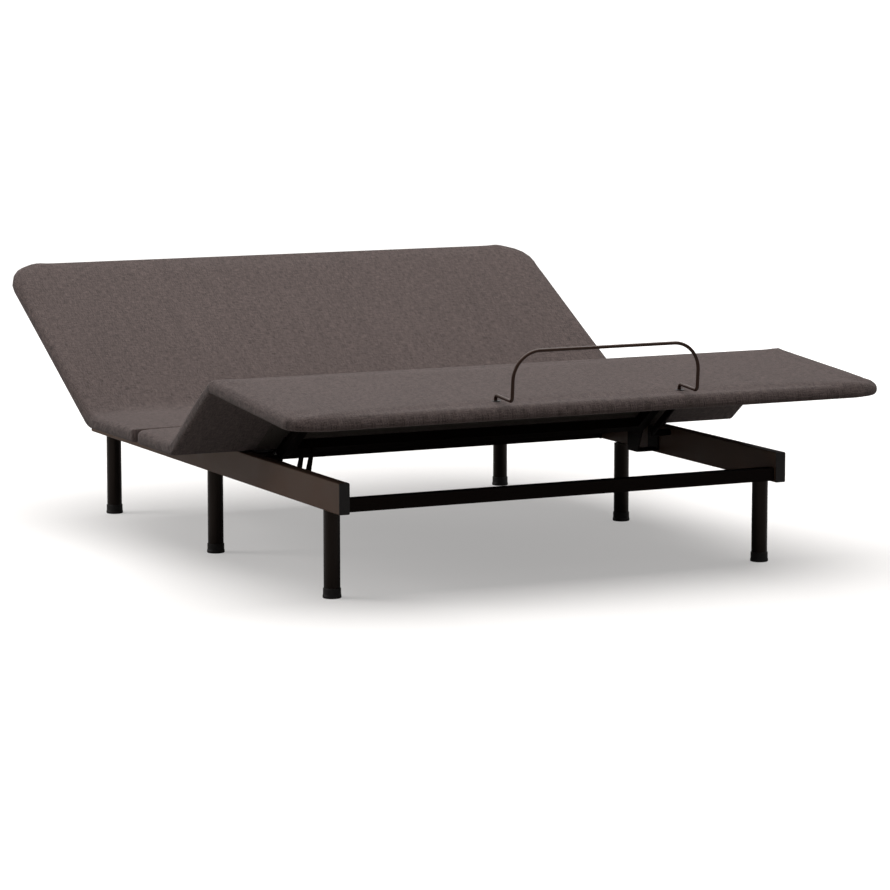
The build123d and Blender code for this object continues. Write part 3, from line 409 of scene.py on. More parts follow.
@dataclass(frozen=True)
class Upholstery(Finish):
    """Heathered woven cover fabric."""

    light: Colour = (0.0640, 0.0468, 0.0432, 1.0)
    dark: Colour = (0.0155, 0.0107, 0.0096, 1.0)
    pitch: float = 0.0030
    slub: float = 2.6
    relief: float = 0.6
    fuzz: float = 0.04

    def dress(self, graph: Graph, surface: bpy.types.Node, effects: EffectLibrary) -> None:
        """Two-tone yarns, slow unevenness of the dye, and a soft sheen."""
        place = graph.node("ShaderNodeAttribute", attribute_name=DeckCover.CLOTH_PLACE).outputs["Vector"]
        weave = effects.place(graph, Effect.WEAVE, place=place, pitch=self.pitch, slub=self.slub)
        streak = graph.noise(graph.stretched(place, (60.0, 2.5, 0.0)), 1.0, 3.0)
        mottle = graph.noise(place, 140.0, 3.0)
        drift = graph.noise(place, 5.0, 3.0)
        tone = graph.math("MULTIPLY_ADD", graph.math("SUBTRACT", streak, 0.5), 0.35, weave.outputs["Yarn"])
        tone = graph.math("MULTIPLY_ADD", graph.math("SUBTRACT", mottle, 0.5), 0.55, tone)
        tone = graph.math("MULTIPLY_ADD", graph.math("SUBTRACT", drift, 0.5), 0.18, tone)
        links = graph.tree.links
        links.new(graph.blend(graph.spread(tone, 0.0, 1.0, 0.0, 1.0), self.dark, self.light),
                  surface.inputs["Base Color"])
        relief = graph.bump(weave.outputs["Height"], self.relief, 0.3 * self.pitch)
        links.new(relief, surface.inputs["Normal"])
        surface.inputs["Sheen Weight"].default_value = self.fuzz
        surface.inputs["Sheen Roughness"].default_value = 0.5
        surface.inputs["Specular IOR Level"].default_value = 0.12


@dataclass(frozen=True)
class NonWoven(Finish):
    """Thin pressed fibre cloth or felt."""

    colour: Colour = (0.012, 0.011, 0.010, 1.0)
    fibre: float = 0.0012

    def dress(self, graph: Graph, surface: bpy.types.Node, effects: EffectLibrary) -> None:
        """Cloudy fibre mat with a fine pressed pattern."""
        place = self.own_place(graph)
        grain = effects.place(graph, Effect.GRAIN, place=place, size=self.fibre)
        paler = tuple(1.9 * c for c in self.colour[:3]) + (1.0,)
        matted = graph.spread(grain.outputs["Height"], 0.35, 0.7, 0.0, 1.0)
        links = graph.tree.links
        links.new(graph.blend(matted, self.colour, paler), surface.inputs["Base Color"])
        links.new(graph.bump(grain.outputs["Height"], 0.4, self.fibre), surface.inputs["Normal"])
        surface.inputs["Specular IOR Level"].default_value = 0.05


FINISHES: dict[str, Finish] = {
    "rail_steel": PowderCoat("rail_coat", 0.5, colour=(0.060, 0.035, 0.0240, 1.0), relief=0.08,
                             wear=0.1, shine=0.1),
    "frame_steel": PowderCoat("frame_coat", 0.5, colour=(0.0042, 0.0028, 0.0024, 1.0), wear=0.03, shine=0.03),
    "leg_steel": PowderCoat("leg_coat", 0.32, colour=(0.0038, 0.0024, 0.0020, 1.0), relief=0.05,
                            wear=0.05, shine=0.14),
    "black_plastic": Moulding("moulded_black", 0.45, colour=(0.0065, 0.0050, 0.0045, 1.0)),
    "motor_steel": PowderCoat("motor_coat", 0.38, colour=(0.010, 0.010, 0.011, 1.0), shine=0.3),
    "bright_steel": Plating("zinc_plating", 0.32),
    "plywood": Plywood("birch_plywood", 0.6),
    "deck_fabric": Upholstery("deck_fabric", 0.9),
    "dust_cloth": NonWoven("dust_cloth", 0.95, colour=(0.0300, 0.0255, 0.0225, 1.0)),
    "felt": NonWoven("grey_felt", 0.95, colour=(0.03, 0.03, 0.03, 1.0)),
    "retainer_steel": PowderCoat("retainer_coat", 0.34, colour=(0.015, 0.0056, 0.0032, 1.0),
                                 relief=0.04, shine=0.22),
}


class Wardrobe:
    """Makes each finish once and puts it on pieces and nodes."""

    def __init__(self) -> None:
        """Start with no material made."""
        self.effects = EffectLibrary()
        self.made: dict[str, bpy.types.Material] = {}

    def material(self, slot: str) -> bpy.types.Material:
        """The material of a slot."""
        if slot not in self.made:
            self.made[slot] = FINISHES[slot].material(self.effects)
        return self.made[slot]

    def dress_piece(self, piece: bpy.types.Object, slot: str) -> None:
        """Give a new piece its slot's material."""
        piece.data.materials.clear()
        piece.data.materials.append(self.material(slot))

    def dress_nodes(self, frame: dict) -> None:
        """Give every CAD node its slot's material."""
        slots = {part["node"]: part["material_slot"] for part in frame["record"]["subparts"]}
        for name, node in frame["nodes"].items():
            for own in node.material_slots:
                own.material = self.material(slots[name])
        LOG.info("finishes on %d nodes", len(frame["nodes"]))


# ---- side view of the deck -----------------------------------------------------------------------
Point = np.ndarray


def along(angle: float, toward: int) -> Point:
    """Unit (y, z) direction that rises by angle while it goes toward +Y (1) or -Y (-1)."""
    return np.array([toward * math.cos(angle), math.sin(angle)])


def upward(direction: Point) -> Point:
    """Unit (y, z) normal of a direction, on its upper side."""
    normal = np.array([-direction[1], direction[0]])
    return normal if normal[1] > 0 else -normal


def crossing(start: Point, direction: Point, other: Point, other_direction: Point) -> Point:
    """Where two lines in the side view meet."""
    shares = np.linalg.solve(np.array([direction, -other_direction]).T, other - start)
    return start + direction * shares[0]


@dataclass(frozen=True)
class Section:
    """One flat part of the deck in the side view.

    Attributes:
        pivot: the hinge axis that it is measured from.
        direction: unit direction that it runs in.
        top: height of its upper face over the pivot, square to it.
        under: the same for its lower face.
    """

    pivot: Point
    direction: Point
    top: float
    under: float

    def at(self, height: float, distance: float = 0.0) -> Point:
        """Point at a height over the pivot and a distance along the section."""
        return self.pivot + upward(self.direction) * height + self.direction * distance


class DeckSide:
    """Side view of the raised deck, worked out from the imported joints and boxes."""

    def __init__(self, frame: dict) -> None:
        """Read the hinge axes and angles.

        Args:
            frame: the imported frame.
        """
        self.nodes = frame["nodes"]
        joints = {joint["name"]: joint for joint in frame["record"]["behaviour"]["joints"]}
        head, thigh, knee = (np.array(joints[name]["pos_m"][1:])
                             for name in ("head_lift", "thigh_lift", "knee_fold"))
        head_angle = -math.radians(joints["head_lift"]["range_deg"][0])
        thigh_angle = -math.radians(joints["thigh_lift"]["range_deg"][0])
        lift_axis = joints["retainer_lift_out"]["axis"]
        calf_dip = math.atan2(-lift_axis[1], lift_axis[2])
        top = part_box("seat_pad_back")[1].z
        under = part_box("seat_board_back")[0].z
        reach = np.linalg.norm(knee - thigh)
        drop = math.atan2(knee[1] - thigh[1], thigh[0] - knee[0]) - thigh_angle
        knee_flat = thigh[1] + reach * math.sin(drop)
        self.seat = Section(np.array([thigh[0], thigh[1]]), along(0.0, -1), top - thigh[1], under - thigh[1])
        self.thigh = Section(thigh, along(thigh_angle, -1), top - thigh[1], under - thigh[1])
        self.calf = Section(knee, along(-calf_dip, -1), top - knee_flat, under - knee_flat)
        self.head = Section(head, along(head_angle, 1), top - head[1], under - head[1])
        self.seat_back = Section(head, along(0.0, 1), top - head[1], under - head[1])

    def extent(self, node: str, section: Section) -> tuple[float, float]:
        """Nearest and farthest distance of a node along a section, from its pivot."""
        count = len(self.nodes[node].data.vertices)
        places = np.zeros(3 * count)
        self.nodes[node].data.vertices.foreach_get("co", places)
        distances = (places.reshape(-1, 3)[:, 1:] - section.pivot) @ section.direction
        return float(distances.min()), float(distances.max())


@dataclass
class Bend:
    """A rounded bend between two sections.

    Attributes:
        before: the section that the path comes from.
        after: the section that it goes to.
        top_radius: rounding of the upper face.
        under_radius: rounding of the lower face.
        steps: stations round the bend.
    """

    before: Section
    after: Section
    top_radius: float
    under_radius: float
    steps: int = 10

    def corner(self, top: bool) -> Point:
        """Where the two sections' faces would meet."""
        first = self.before.at(self.before.top if top else self.before.under)
        second = self.after.at(self.after.top if top else self.after.under)
        return crossing(first, self.before.direction, second, self.after.direction)


class FacePath:
    """One face of a cover in the side view: straight runs joined by arcs.

    Both faces of a cover have the same stations.
    """

    def __init__(self, start: Point, bends: list[Bend], end: Point, top: bool) -> None:
        """Lay the path.

        Args:
            start: first point.
            bends: bends in order.
            end: last point.
            top: the upper face, or the lower one.
        """
        self.runs: list[tuple[Point, Point]] = []
        self.arcs: list[tuple[Point, Point, Point]] = []
        here = start
        for bend in bends:
            corner = bend.corner(top)
            radius = bend.top_radius if top else bend.under_radius
            first, second = bend.before.direction, bend.after.direction
            turn = math.acos(float(np.clip(first @ second, -1, 1)))
            back = radius * math.tan(turn / 2)
            self.runs.append((here, corner - first * back))
            self.arcs.append((corner - first * back, corner, corner + second * back))
            here = corner + second * back
        self.runs.append((here, end))

    def points(self, shares: list[np.ndarray]) -> np.ndarray:
        """Stations along the path.

        Args:
            shares: for each run and arc in turn, the shares of its length.

        Returns:
            One (y, z) row per station.
        """
        rows: list[Point] = []
        for index, share in enumerate(shares):
            if index % 2 == 0:
                a, b = self.runs[index // 2]
                rows.extend(a + (b - a) * s for s in share)
            else:
                rows.extend(self._arc(self.arcs[index // 2], s) for s in share)
        return np.array(rows)

    @staticmethod
    def _arc(arc: tuple[Point, Point, Point], share: float) -> Point:
        """Point of a circular arc that is tangent to both legs of its corner."""
        a, corner, b = arc
        first, second = corner - a, b - corner
        leg = np.linalg.norm(first)
        if leg < 1e-9:
            return corner
        turn = math.acos(float(np.clip(first @ second / leg**2, -1, 1)))
        chord = math.sin(turn)
        left, right = math.sin((1 - share) * turn) / chord, math.sin(share * turn) / chord
        heading = left * first + right * second
        radius = leg / math.tan(turn / 2)
        inward = upward(first / leg)
        if inward @ second < 0:
            inward = -inward
        centre = a + inward * radius
        outward = np.array([-heading[1], heading[0]]) / leg
        if outward @ inward > 0:
            outward = -outward
        return centre + outward * radius


# ---- fabric covers -------------------------------------------------------------------------------
@dataclass
class End:
    """One end of a cover along the bed.

    Attributes:
        corner: reach of its two round corners across the bed, 0 where the cover runs on in the next piece.
        edge: rounding of its upper edge.
        depth: reach of the corners along the bed.
    """

    corner: float
    edge: float = 0.022
    depth: float = 0.095

    @property
    def joined(self) -> bool:
        """True where the cover runs on in the next piece."""
        return self.corner == 0.0


@dataclass
class DeckCover:
    """A foam pad with its fabric, over one or two sections of the deck.

    Attributes:
        name: the piece's name.
        start: first end of the path.
        finish: last end.
        bends: bends in order.
        start_top: first point of the upper face.
        start_under: first point of the lower face.
        end_top: last point of the upper face.
        end_under: last point of the lower face.
        width: full width across the bed.
        edge: rounding of the long upper edges.
        wrap: rounding of the lower edges.
        pitch: spacing of stations in the open field.
        swell: most that the foam may lift the fabric.
    """

    name: str
    start: End
    finish: End
    bends: list[Bend]
    start_top: Point
    start_under: Point
    end_top: Point
    end_under: Point
    width: float
    edge: float = 0.022
    wrap: float = 0.008
    pitch: float = 0.016
    swell: float = 0.003
    field_steps: int = 7

    CLOTH_PLACE = "cloth_place"

    def _inset_steps(self, radius: float) -> np.ndarray:
        """Distances from an edge that follow a quarter circle of that radius."""
        angles = np.linspace(0, math.pi / 2, self.field_steps)
        return radius * (1 - np.cos(angles))

    def _end_steps(self, end: End) -> np.ndarray:
        """Distances from one end at which stations stand."""
        if end.joined:
            return np.array([0.0])
        steps = np.concatenate([self._inset_steps(end.edge), self._inset_steps(end.depth)])
        kept = [0.0]
        for step in np.sort(steps):
            if step - kept[-1] > 0.0009:
                kept.append(float(step))
        return np.array(kept)

    def _shares(self, path: FacePath) -> list[np.ndarray]:
        """Shares of each run and arc at which stations stand."""
        shares: list[np.ndarray] = []
        last = len(path.runs) - 1
        for index, (a, b) in enumerate(path.runs):
            length = float(np.linalg.norm(b - a))
            low = self._end_steps(self.start) if index == 0 else np.array([0.0])
            high = self._end_steps(self.finish) if index == last else np.array([0.0])
            first, final = low[-1], length - high[-1]
            count = max(2, int(round((final - first) / self.pitch)) + 1)
            middle = np.linspace(first, final, count)
            run = np.concatenate([low[:-1], middle, (length - high[:-1])[::-1]]) / length
            shares.append(run if index == 0 else run[1:])
            if index < last:
                shares.append(np.linspace(0, 1, self.bends[index].steps + 1)[1:])
        return shares

    def _columns(self) -> np.ndarray:
        """Places across the half width, as shares of it, from the middle out."""
        half = self.width / 2
        steps = self._inset_steps(self.edge)
        count = int(round((half - steps[-1]) / self.pitch))
        inner = np.linspace(0, half - steps[-1], count + 1)
        return np.concatenate([inner[:-1], (half - steps)[::-1]]) / half

    def _half_width(self, run: np.ndarray, total: float) -> np.ndarray:
        """Half width of the plan at each station."""
        half = np.full(run.shape, self.width / 2)
        for end, distance in ((self.start, run), (self.finish, total - run)):
            if end.joined:
                continue
            inside = np.clip(1 - distance / end.depth, 0, 1)
            half -= end.corner * (1 - np.sqrt(1 - inside**2))
        return half

    def _inset(self, x: np.ndarray, run: np.ndarray,
               total: float) -> tuple[np.ndarray, np.ndarray, np.ndarray]:
        """Distance of each point from the outline, its rounding, and the way out.

        Args:
            x: place across the bed.
            run: place along the path.
            total: length of the path.

        Returns:
            The distances, the edge radii and the outward (x, run) directions.
        """
        side = self.width / 2 - np.abs(x)
        inset = side.copy()
        radius = np.full(x.shape, self.edge)
        out = np.stack([np.sign(x), np.zeros_like(x)], axis=-1)
        for end, distance, way in ((self.start, run, -1.0), (self.finish, total - run, 1.0)):
            if end.joined:
                continue
            share = np.clip(distance / (2.5 * end.depth), 0, 1)
            radius = end.edge + (radius - end.edge) * share * share * (3 - 2 * share)
            near_end = distance < inset
            inset = np.where(near_end, distance, inset)
            out[near_end] = (0.0, way)
            corner = (side < end.corner) & (distance < end.depth)
            far_x, far_run = 1 - side / end.corner, 1 - distance / end.depth
            lean = np.stack([np.sign(x) * far_x / end.corner, way * far_run / end.depth], axis=-1)
            slope = np.maximum(np.linalg.norm(lean, axis=-1), 1e-9)
            reach = np.hypot(far_x, far_run)
            inset = np.where(corner, (1 - reach) * reach / slope, inset)
            out[corner] = (lean / slope[..., None])[corner]
        return np.maximum(inset, 0.0), radius, out

    def build(self) -> bpy.types.Object:
        """Build the closed cover.

        Returns:
            The mesh object, with the flat place of its cloth stored on each point.
        """
        upper = FacePath(self.start_top, self.bends, self.end_top, True)
        lower = FacePath(self.start_under, self.bends, self.end_under, False)
        shares = self._shares(upper)
        top, under = upper.points(shares), lower.points(shares)
        run = np.concatenate([[0.0], np.cumsum(np.linalg.norm(np.diff(top, axis=0), axis=1))])
        half = self._columns()
        columns = np.concatenate([-half[::-1], half[1:]])
        run_grid = np.repeat(run[:, None], len(columns), axis=1)
        x = self._half_width(run, run[-1])[:, None] * columns[None, :]
        inset, radius, out = self._inset(x, run_grid, run[-1])
        thick = np.linalg.norm(top - under, axis=1)[:, None]
        places, cloth = [], []
        for face_radius, upper_side in ((radius, True), (np.full(x.shape, self.wrap), False)):
            bent = np.clip(1 - inset / face_radius, 0, 1)
            drop = face_radius * (1 - np.sqrt(1 - bent**2)) / thick
            height = (1 - drop if upper_side else drop)[..., None]
            line = under[:, None, :] + (top - under)[:, None, :] * height
            places.append(np.concatenate([x[..., None], line], axis=-1))
            unrolled = face_radius * np.arcsin(bent) - face_radius * bent
            past = unrolled if upper_side else 2 * inset + (math.pi / 2 - 1) * radius - unrolled
            flat = np.stack([x, run_grid], axis=-1) + out * past[..., None]
            cloth.append(np.concatenate([flat, np.zeros(x.shape + (1,))], axis=-1))
        self.rows, self.across = x.shape
        return self._mesh(np.array(places).reshape(-1, 3), np.array(cloth).reshape(-1, 3))

    def _mesh(self, places: np.ndarray, cloth: np.ndarray) -> bpy.types.Object:
        """Join the two faces and the rim into one closed mesh."""
        rows, across = self.rows, self.across
        sheet = rows * across
        index = np.arange(sheet).reshape(rows, across)
        around = [index[:-1, :-1], index[:-1, 1:], index[1:, 1:], index[1:, :-1]]
        quads = np.stack(around, axis=-1).reshape(-1, 4)
        rim = np.concatenate([index[0, :-1], index[:-1, -1], index[-1, :0:-1], index[:0:-1, 0]])
        onward = np.roll(rim, -1)
        band = np.stack([rim, rim + sheet, onward + sheet, onward], axis=-1)
        faces = np.concatenate([quads, (quads + sheet)[:, ::-1], band])
        mesh = bpy.data.meshes.new(self.name)
        mesh.from_pydata(places.tolist(), [], faces.tolist())
        mesh.validate()
        mesh.update()
        cloth_place = mesh.attributes.new(self.CLOTH_PLACE, "FLOAT_VECTOR", "POINT")
        cloth_place.data.foreach_set("vector", cloth.ravel())
        piece = bpy.data.objects.new(self.name, mesh)
        bpy.context.scene.collection.objects.link(piece)
        self._outward(mesh)
        mesh.polygons.foreach_set("use_smooth", [True] * len(mesh.polygons))
        self._crease_joined_ends(mesh, index, sheet)
        return piece

    @staticmethod
    def _outward(mesh: bpy.types.Mesh) -> None:
        """Turn the faces outward."""
        places = np.zeros(3 * len(mesh.vertices))
        mesh.vertices.foreach_get("co", places)
        places = places.reshape(-1, 3)
        volume = 0.0
        for face in mesh.polygons:
            a, b, c = (places[i] for i in face.vertices[:3])
            volume += float(np.dot(a, np.cross(b, c)))
        if volume < 0:
            mesh.flip_normals()

    def _crease_joined_ends(self, mesh: bpy.types.Mesh, index: np.ndarray, sheet: int) -> None:
        """Keep shading flat across the caps where the cover runs on in the next piece."""
        joined = set()
        for end, row in ((self.start, 0), (self.finish, -1)):
            if end.joined:
                joined.update(int(i) for i in index[row])
        joined |= {i + sheet for i in joined}
        if not joined:
            return
        for face in mesh.polygons:
            if all(i in joined for i in face.vertices):
                face.use_smooth = False
        sharp = [edge.vertices[0] in joined and edge.vertices[1] in joined for edge in mesh.edges]
        mesh.attributes.new("sharp_edge", "BOOLEAN", "EDGE").data.foreach_set("value", sharp)

    def swell_by_simulation(self, piece: bpy.types.Object, pressure: float = 1.2, frames: int = 20) -> float:
        """Let the foam press the stapled fabric out, by cloth simulation.

        Args:
            piece: the built cover.
            pressure: pressure inside.
            frames: length of the simulation.

        Returns:
            The largest move, before the cap.
        """
        sheet = self.rows * self.across
        index = np.arange(sheet).reshape(self.rows, self.across)
        held = set(range(sheet, 2 * sheet)) | set(index[:, 0].tolist()) | set(index[:, -1].tolist())
        held |= set(index[0].tolist()) | set(index[-1].tolist())
        pins = piece.vertex_groups.new(name="stapled")
        pins.add(sorted(held), 1.0, "REPLACE")
        cloth = piece.modifiers.new("swell", "CLOTH")
        settings = cloth.settings
        settings.quality = 4
        settings.mass = 0.4
        settings.tension_stiffness = 40
        settings.compression_stiffness = 40
        settings.shear_stiffness = 20
        settings.bending_stiffness = 4
        settings.use_pressure = True
        settings.uniform_pressure_force = pressure
        settings.vertex_group_mass = pins.name
        settings.effector_weights.gravity = 0.0
        cloth.collision_settings.use_collision = False
        cloth.collision_settings.use_self_collision = False
        cloth.point_cache.frame_start, cloth.point_cache.frame_end = 1, frames
        before = np.zeros(3 * len(piece.data.vertices))
        piece.data.vertices.foreach_get("co", before)
        scene = bpy.context.scene
        for step in range(1, frames + 1):
            scene.frame_set(step)
        shaped = piece.evaluated_get(bpy.context.evaluated_depsgraph_get())
        after = np.zeros_like(before)
        shaped.data.vertices.foreach_get("co", after)
        piece.modifiers.remove(cloth)
        piece.vertex_groups.remove(pins)
        scene.frame_set(1)
        move = (after - before).reshape(-1, 3)
        size = np.linalg.norm(move, axis=1)
        soft = self.swell * np.tanh(size / self.swell) / np.maximum(size, 1e-9)
        piece.data.vertices.foreach_set("co", before + (move * soft[:, None]).ravel())
        piece.data.update()
        return float(size.max())


@dataclass
class Upholsterer:
    """Builds the fabric covers of the whole deck.

    Attributes:
        side: hinge axes and angles.
        wardrobe: the finishes.
        end_corner: reach of the deck's round corners across the bed.
        foot_depth: reach of the foot corners along the bed.
        seam_corner: plan radius of the front cover's corners at the seam.
        seam_edge: rounding of the front cover's edge at the seam.
        butt_corner: plan radius of the back cover's corners at the seam.
        butt_edge: rounding of the back cover's edge at the seam.
        seam_lap: how far each cover reaches past its pad into the seam.
        side_edge: rounding along the sides and at the head end.
        lap: how far the lower faces go under the boards.
        fill: how full and tight the covers are, from 0 to 1; not used.
    """

    side: DeckSide
    wardrobe: Wardrobe
    end_corner: float = 0.095
    foot_depth: float = 0.052
    seam_corner: float = 0.034
    seam_edge: float = 0.014
    butt_corner: float = 0.012
    butt_edge: float = 0.0022
    seam_lap: float = 0.0012
    side_edge: float = 0.014
    lap: float = 0.0006
    fill: float = 0.9

    @property
    def width(self) -> float:
        """Width of the deck over its covers."""
        return 2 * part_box("head_pad")[1].x

    def _ends(self, section: Section, distance: float) -> tuple[Point, Point]:
        """Upper and lower end points at a distance along a section."""
        return section.at(section.top, distance), section.at(section.under - self.lap, distance)

    def _bend(self, before: Section, after: Section, top: float, under: float, steps: int = 12) -> Bend:
        """A bend whose lower face laps just under the boards."""
        lapped = [Section(s.pivot, s.direction, s.top, s.under - self.lap) for s in (before, after)]
        return Bend(lapped[0], lapped[1], top, under, steps)

    def covers(self) -> list[tuple[DeckCover, tuple[str, ...], tuple[str, str], tuple[Section, float]]]:
        """The three covers, with the nodes they replace, the bodies they join and where they bend."""
        side = self.side
        seam_front = side.extent("seat_pad_front", side.seat)[0] - self.seam_lap
        seam_back = side.extent("seat_pad_back", side.seat_back)[0] - self.seam_lap
        foot_end = side.extent("calf_pad", side.calf)[1]
        head_end = side.extent("head_pad", side.head)[1]
        middle = side.extent("thigh_pad", side.thigh)[1] / 2
        seam = End(self.seam_corner, self.seam_edge, self.seam_corner)
        butt = End(self.butt_corner, self.butt_edge, self.butt_corner)
        foot = End(self.end_corner, depth=self.foot_depth)
        crown = End(self.end_corner, self.side_edge)
        joined = End(0.0)
        thigh_bend = self._bend(side.seat, side.thigh, 0.060, 0.012)
        knee_bend = self._bend(side.thigh, side.calf, 0.036, 0.006)
        head_bend = self._bend(side.seat_back, side.head, 0.150, 0.060, 16)
        front = DeckCover("lower_cover_seat", seam, joined, [thigh_bend], *self._ends(side.seat, seam_front),
                          *self._ends(side.thigh, middle), self.width, self.side_edge)
        calf = DeckCover("lower_cover_calf", joined, foot, [knee_bend], *self._ends(side.thigh, middle),
                         *self._ends(side.calf, foot_end), self.width, self.side_edge)
        head = DeckCover("upper_cover", butt, crown, [head_bend], *self._ends(side.seat_back, seam_back),
                         *self._ends(side.head, head_end), self.width, self.side_edge)
        return [
            (front, ("seat_pad_front", "thigh_pad"), ("base_frame", "thigh_section"), (side.seat, 0.075)),
            (calf, ("calf_pad",), ("thigh_section", "calf_section"), (side.thigh, 0.055)),
            (head, ("seat_pad_back", "head_pad"), ("base_frame", "head_section"), (side.seat_back, 0.095)),
        ]

    def build(self) -> None:
        """Build, swell and dress every cover."""
        for cover, replaced, bodies, (before, reach) in self.covers():
            piece = cover.build()
            LOG.info("%s swells by up to %.4f m", cover.name, cover.swell_by_simulation(piece))
            self.wardrobe.dress_piece(piece, "deck_fabric")
            bend = cover.bends[0]
            mean = bend.before.direction + bend.after.direction
            mean = mean / np.linalg.norm(mean)
            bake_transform(piece)
            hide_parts(*replaced)
            LOG.info("built %s with %d points", cover.name, len(piece.data.vertices))


# ---- underside cloth and staples -----------------------------------------------------------------
@dataclass
class DustCover:
    """Thin cloth stapled under one section.

    Attributes:
        section_name: head, thigh or calf.
        section: the section in the side view.
        near: distance of its first edge along the section.
        far: distance of its last edge.
        half: half its width.
        hem: width of the folded hem.
    """

    section_name: str
    section: Section
    near: float
    far: float
    half: float
    hem: float = 0.018
    thickness: float = 0.0007
    pucker: float = 0.0005
    staple_pitch: float = 0.055
    staple_crown: float = 0.010
    staple_wire: float = 0.0009

    def _at(self, x: float, distance: float, lift: float) -> tuple[float, float, float]:
        """Point under the section, lift above the board's lower face."""
        y, z = self.section.at(self.section.under + lift, distance)
        return (x, float(y), float(z))

    def cloth(self) -> bpy.types.Object:
        """Build the cloth, puckered a little between its staples."""
        length = self.far - self.near
        count_x, count_y = int(2 * self.half / 0.018), max(6, int(length / 0.018))
        verts, faces = [], []
        for side in (0.0, -self.thickness):
            for row in range(count_y + 1):
                for column in range(count_x + 1):
                    x = -self.half + 2 * self.half * column / count_x
                    distance = self.near + length * row / count_y
                    edge = min(self.half - abs(x), distance - self.near, self.far - distance)
                    fade = math.exp(-edge / 0.05)
                    wave = math.sin(math.tau * (x + distance) / self.staple_pitch) * self.pucker * fade
                    verts.append(self._at(x, distance, -0.0009 + side * 0.5 + wave * 0.4))
        sheet = (count_x + 1) * (count_y + 1)
        for row in range(count_y):
            for column in range(count_x):
                a = row * (count_x + 1) + column
                quad = (a, a + 1, a + count_x + 2, a + count_x + 1)
                faces.append(quad)
                faces.append(tuple(i + sheet for i in reversed(quad)))
        rim = list(range(count_x)) + [r * (count_x + 1) + count_x for r in range(count_y)]
        rim += [sheet - 1 - i for i in range(count_x)] + [r * (count_x + 1) for r in range(count_y, 0, -1)]
        for a, b in zip(rim, rim[1:] + rim[:1]):
            faces.append((a, a + sheet, b + sheet, b))
        return new_mesh(f"{self.section_name}_dust_cloth", verts, faces, smooth=False)

    def staples(self) -> bpy.types.Object:
        """Build the row of staples round the cloth."""
        verts, faces = [], []
        inset = self.hem / 2
        x_edge, y_low, y_high = self.half - inset, self.near + inset, self.far - inset
        for x in np.arange(-x_edge + 0.02, x_edge - 0.01, self.staple_pitch):
            for distance in (y_low, y_high):
                self._staple(verts, faces, float(x), distance, True)
        for distance in np.arange(y_low + 0.03, y_high - 0.02, self.staple_pitch):
            for x in (-x_edge, x_edge):
                self._staple(verts, faces, x, float(distance), False)
        return new_mesh(f"{self.section_name}_dust_staples", verts, faces, smooth=False)

    def _staple(self, verts: list, faces: list, x: float, distance: float, across: bool) -> None:
        """Add one bent staple: a crown and two short legs, drawn as a strip of square wire."""
        wire, crown = self.staple_wire, self.staple_crown
        profile = [(-crown / 2, 0.0), (-crown / 2, -wire), (-crown / 2 + wire, -1.7 * wire),
                   (crown / 2 - wire, -1.7 * wire), (crown / 2, -wire), (crown / 2, 0.0),
                   (crown / 2 - wire, 0.0), (crown / 2 - 1.4 * wire, -0.7 * wire),
                   (-crown / 2 + 1.4 * wire, -0.7 * wire), (-crown / 2 + wire, 0.0)]
        base = len(verts)
        for shift in (-wire / 2, wire / 2):
            for u, lift in profile:
                place = (x + u, distance + shift) if across else (x + shift, distance + u)
                verts.append(self._at(place[0], place[1], -0.0010 + lift * 0.6))
        count = len(profile)
        for i in range(count):
            j = (i + 1) % count
            faces.append((base + i, base + j, base + count + j, base + count + i))
        for quad in ((0, 1, 2, 9), (2, 3, 7, 8), (3, 4, 5, 6)):
            faces.append(tuple(base + i for i in quad))
            faces.append(tuple(base + count + i for i in reversed(quad)))
        for triangle in ((2, 8, 9), (3, 6, 7)):
            faces.append(tuple(base + i for i in triangle))
            faces.append(tuple(base + count + i for i in reversed(triangle)))


def new_mesh(name: str, verts: list, faces: list, smooth: bool = True) -> bpy.types.Object:
    """Make an object from points and faces.

    Args:
        name: the piece's name.
        verts: its points.
        faces: its faces, as point numbers.
        smooth: smooth or flat shading.

    Returns:
        The object, linked into the scene.
    """
    mesh = bpy.data.meshes.new(name)
    mesh.from_pydata([tuple(map(float, v)) for v in verts], [], faces)
    mesh.validate()
    mesh.polygons.foreach_set("use_smooth", [smooth] * len(mesh.polygons))
    mesh.update()
    piece = bpy.data.objects.new(name, mesh)
    bpy.context.scene.collection.objects.link(piece)
    return piece


class Underside:
    """Dust cloths and staples under the moving sections."""

    def __init__(self, side: DeckSide, wardrobe: Wardrobe) -> None:
        """Take the deck's side view and the finishes."""
        self.side = side
        self.wardrobe = wardrobe

    def build(self) -> None:
        """Build the cloth and staples of every section."""
        sections = {"head": self.side.head, "thigh": self.side.thigh, "calf": self.side.calf}
        for name, section in sections.items():
            node = f"{name}_dust_cover"
            near, far = self.side.extent(node, section)
            cover = DustCover(name, section, near, far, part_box(node)[1].x)
            cloth, staples = cover.cloth(), cover.staples()
            for piece, slot in ((cloth, "dust_cloth"), (staples, "frame_steel")):
                self.wardrobe.dress_piece(piece, slot)
                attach(piece, f"{name}_section")
            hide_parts(node)
            LOG.info("built %s and its staples", cloth.name)


# ---- studio --------------------------------------------------------------------------------------
@dataclass
class SoftBox:
    """A large soft light aimed at a point."""

    name: str
    place: tuple[float, float, float]
    aim: tuple[float, float, float]
    size: tuple[float, float]
    power: float

    def build(self) -> None:
        """Add the light to the scene."""
        light = bpy.data.lights.new(self.name, "AREA")
        light.shape = "RECTANGLE"
        light.size, light.size_y = self.size
        light.energy = self.power
        lamp = bpy.data.objects.new(self.name, light)
        lamp.location = self.place
        lamp.rotation_euler = (Vector(self.aim) - Vector(self.place)).to_track_quat("-Z", "Y").to_euler()
        bpy.context.scene.collection.objects.link(lamp)


